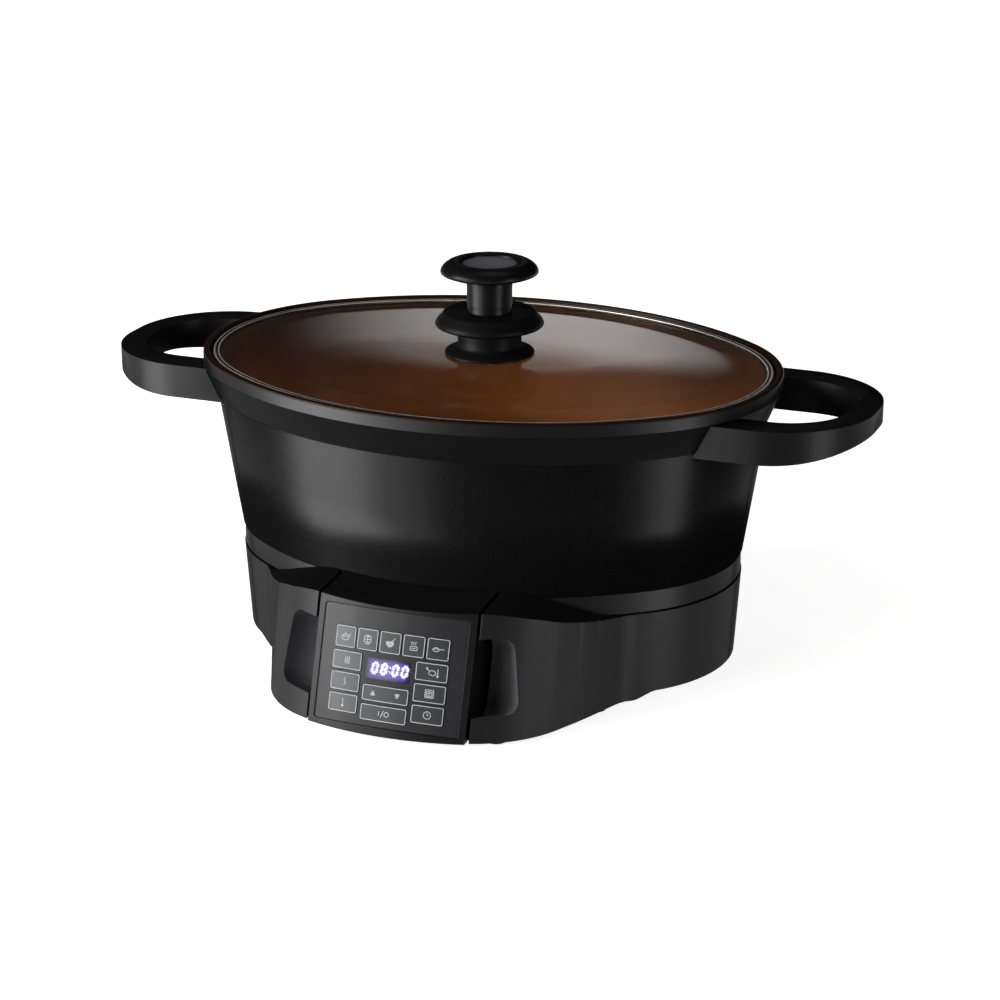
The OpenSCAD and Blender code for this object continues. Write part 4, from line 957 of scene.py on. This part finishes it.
class COOKER_OT_inside(bpy.types.Operator):
    """Gives the heater, the electric pieces and the fasteners their finishes, and makes the sensor's spring."""

    bl_idname = "cooker.inside"
    bl_label = "Inner pieces"

    def execute(self, context):
        # Zinc plating: a cool, soft gloss
        steel = metal("Steel, zinc plated", linear("#b9bcc0"), 0.32, streak=1)
        # Rolled sheet with an aluminium coat: pale, with streaks across it
        sheet = metal("Steel sheet, aluminised", linear("#c3c6c9"), 0.38, along=(1, 0.2, 1), streak=2)
        # A turned casting: a dull, even grey
        cast = metal("Aluminium, cast and turned", linear("#a9abad"), 0.42, streak=0.8)
        # Tin over brass: a pale yellow gloss
        brass = metal("Brass, tin plated", linear("#c9b37a"), 0.28, streak=1)
        looks = {
            steel: ("knob_screw", "handle_screws", "cover_screws", "plate_screws", "unit_screws", "fuse_clip"),
            sheet: ("heat_pan", "sensor_guide", "sensor_cup"),
            cast: ("hot_plate",),
            brass: ("plug_blades",),
            # Nickel alloy that the heat has darkened
            metal("Nickel alloy tube, heat tinted", linear("#5d5a57"), 0.5, streak=1.5): ("heating_element",),
            # Soft and matt
            moulded("Silicone, grey", linear("#55575a"), 0.6, grain=0.8): ("keypad_mat", "knob_washer"),
            # Fired, with a faint sheen
            moulded("Steatite ceramic, ivory", linear("#dcd5c2"), 0.45, grain=0.6): ("ceramic_spacers",),
            # Green lacquer with a clear gloss over a woven board
            moulded("Epoxy glass board, green", linear("#2f6b3c"), 0.4, grain=1.2, coat=0.3):
                ("power_board", "control_board"),
            # Moulded housings with an even, slight gloss
            moulded("PBT housing, black", linear("#1a1a1c"), 0.4): ("relay", "unit_plug", "unit_socket"),
            moulded("Film capacitor, yellow", linear("#b98a1e"), 0.4): ("capacitor",),
            moulded("Polyamide, cream", linear("#cfc7b0"), 0.5): ("terminal_block",),
            moulded("Fuse sleeve, white", linear("#d8d6d0"), 0.45): ("thermal_fuse",),
            moulded("Epoxy display block, pale", linear("#dcdaea"), 0.4): ("display_block",),
        }
        for look, nodes in looks.items():
            for node in nodes:
                painted(NODES[node], look)

        # The sensor's spring, copied as one clean mesh of its own
        coil = copied("sensor_spring", "sensor_coil")
        shade(coil, 40)
        painted(coil, steel)
        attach(coil, body_of("sensor_spring"))
        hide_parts("sensor_spring")
        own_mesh(coil)
        return {"FINISHED"}


class COOKER_OT_stage(bpy.types.Operator):
    """Sets the pale floor, the soft light and the camera."""

    bl_idname = "cooker.stage"
    bl_label = "Stage"

    def execute(self, context):
        stage = context.scene.cooker_stage
        deselect()
        bpy.ops.mesh.primitive_plane_add(size=40)
        floor = context.object
        floor.name = "floor"
        edit(floor)
        bpy.ops.mesh.subdivide(number_cuts=3)
        deselect()
        # Matt paper that holds a soft shadow near the object and is plain white away from it
        m, t, place = material("Paper, white seamless")
        path = add(t, "LightPath")
        one = add(t, "Math", {0: path.outputs["Is Camera Ray"], 1: path.outputs["Is Glossy Ray"]}, operation="MAXIMUM")
        seen = add(t, "Math", {0: one, 1: path.outputs["Is Transmission Ray"]}, operation="MAXIMUM")
        away = add(t, "VectorMath", {0: place}, operation="LENGTH")
        near, far = 0.22, 0.6
        rise = add(t, "MapRange", {
            "Value": away.outputs["Value"], "From Min": near, "From Max": far, "To Min": 0.85, "To Max": 1.0})
        level = add(t, "Math", {0: seen, 1: rise}, operation="MULTIPLY")
        shader = add(t, "BsdfPrincipled", {
            "Base Color": linear("#f0f0ee"), "Roughness": 0.9, "Specular IOR Level": 0.0,
            "Emission Color": (1, 1, 1, 1), "Emission Strength": level})
        shown(t, shader)
        painted(floor, m)

        # Lamps: name, place, width, height, watts
        aim = Vector((0, 0, 0.1))
        lamps = (
            ("soft_box_left", (-1.65, -1.27, 0.75), 1.2, 1.2, 48),
            ("soft_box_front", (-0.95, -1.87, 0.75), 0.85, 1.2, 9),
            ("soft_box_top", (0.1, 0.4, 2.3), 1.2, 0.8, 2.5),
            ("strip_right", (1.8, -0.65, 0.6), 0.7, 0.8, 8),
        )
        for name, place, width, height, watts in lamps:
            deselect()
            bpy.ops.object.light_add(type="AREA", location=place)
            lamp = context.object
            lamp.name = lamp.data.name = name
            lamp.data.shape = "RECTANGLE"
            lamp.data.size, lamp.data.size_y = width, height
            lamp.data.energy = watts * stage.light
            lamp.rotation_euler = (aim - Vector(place)).to_track_quat("-Z", "Y").to_euler()

        world = bpy.data.worlds.new("Studio")
        context.scene.world = world
        world.use_nodes = True
        t = world.node_tree
        t.nodes.clear()
        # A soft box behind, seen in the lid, and a dim room: the box's extent is in sines of the way looked
        across, forwards = (0.932, 0.362, 0), (-0.362, 0.932, 0)
        middle, dim, bright = 0.022, 0.012, 0.72  # the box's middle, and the strength of the room and of the box
        way = add(t, "TexCoord").outputs["Generated"]
        split = add(t, "SeparateXYZ", {"Vector": way})
        side = add(t, "VectorMath", {0: way, 1: across}, operation="DOT_PRODUCT")
        ahead = add(t, "VectorMath", {0: way, 1: forwards}, operation="DOT_PRODUCT")
        beside = add(t, "Math", {0: side.outputs["Value"], 1: middle}, operation="SUBTRACT")
        off = add(t, "Math", {0: beside}, operation="ABSOLUTE")
        # Between each pair of sines the box comes in softly: from its sides, its foot and its head
        wide, foot, head = (
            add(t, "MapRange", {"Value": way_off, "From Min": dark_at, "From Max": light_at}, **SMOOTH)
            for way_off, dark_at, light_at in ((off, 0.115, 0.01), (split.outputs["Z"], 0.190, 0.205),
                                               (split.outputs["Z"], 0.305, 0.255)))
        front = add(t, "Math", {0: ahead.outputs["Value"], 1: 0.0}, operation="GREATER_THAN")
        lit = foot
        for share in (head, wide, front):
            lit = add(t, "Math", {0: lit, 1: share}, operation="MULTIPLY")
        soft = add(t, "MapRange", {"Value": lit, "To Min": dim, "To Max": bright})
        glow = add(t, "Background", {"Color": (1, 1, 1, 1), "Strength": soft})
        add(t, "OutputWorld", {"Surface": glow})

        deselect()
        bpy.ops.object.camera_add(location=stage.camera)
        camera = context.object
        camera.name = "camera"
        camera.data.lens = stage.lens
        camera.data.sensor_width = 36
        camera.data.clip_start, camera.data.clip_end = 0.05, 100
        camera.rotation_euler = (Vector(stage.target) - Vector(stage.camera)).to_track_quat("-Z", "Y").to_euler()
        context.scene.camera = camera
        context.scene.view_settings.view_transform = "Standard"
        return {"FINISHED"}


class COOKER_PT_panel(bpy.types.Panel):
    """Lists the pieces in the sidebar."""

    bl_idname = "COOKER_PT_panel"
    bl_label = "Multicooker"
    bl_space_type = "VIEW_3D"
    bl_region_type = "UI"
    bl_category = "Multicooker"

    def draw(self, context):
        for step in STEPS:
            self.layout.operator(step.bl_idname)


STEPS = (COOKER_OT_pot, COOKER_OT_lid, COOKER_OT_knob, COOKER_OT_handles, COOKER_OT_base, COOKER_OT_unit,
         COOKER_OT_keys, COOKER_OT_display, COOKER_OT_inside, COOKER_OT_stage)
GROUPS = {"cooker_sizes": CookerSizes, "cooker_colours": CookerColours, "cooker_stage": CookerStage}


def register():
    """Registers the classes and gives the scene its properties."""
    for group in GROUPS.values():
        bpy.utils.register_class(group)
    for name, group in GROUPS.items():
        setattr(bpy.types.Scene, name, bpy.props.PointerProperty(type=group))
    for step in STEPS + (COOKER_PT_panel,):
        bpy.utils.register_class(step)


def unregister():
    """Takes back what register did."""
    for step in reversed(STEPS + (COOKER_PT_panel,)):
        bpy.utils.unregister_class(step)
    for name, group in GROUPS.items():
        delattr(bpy.types.Scene, name)
        bpy.utils.unregister_class(group)


def main():
    """Builds everything in order."""
    register()
    for step in STEPS:
        group, name = step.bl_idname.split(".")
        getattr(getattr(bpy.ops, group), name)()
    deselect()


if __name__ == "__main__":
    main()
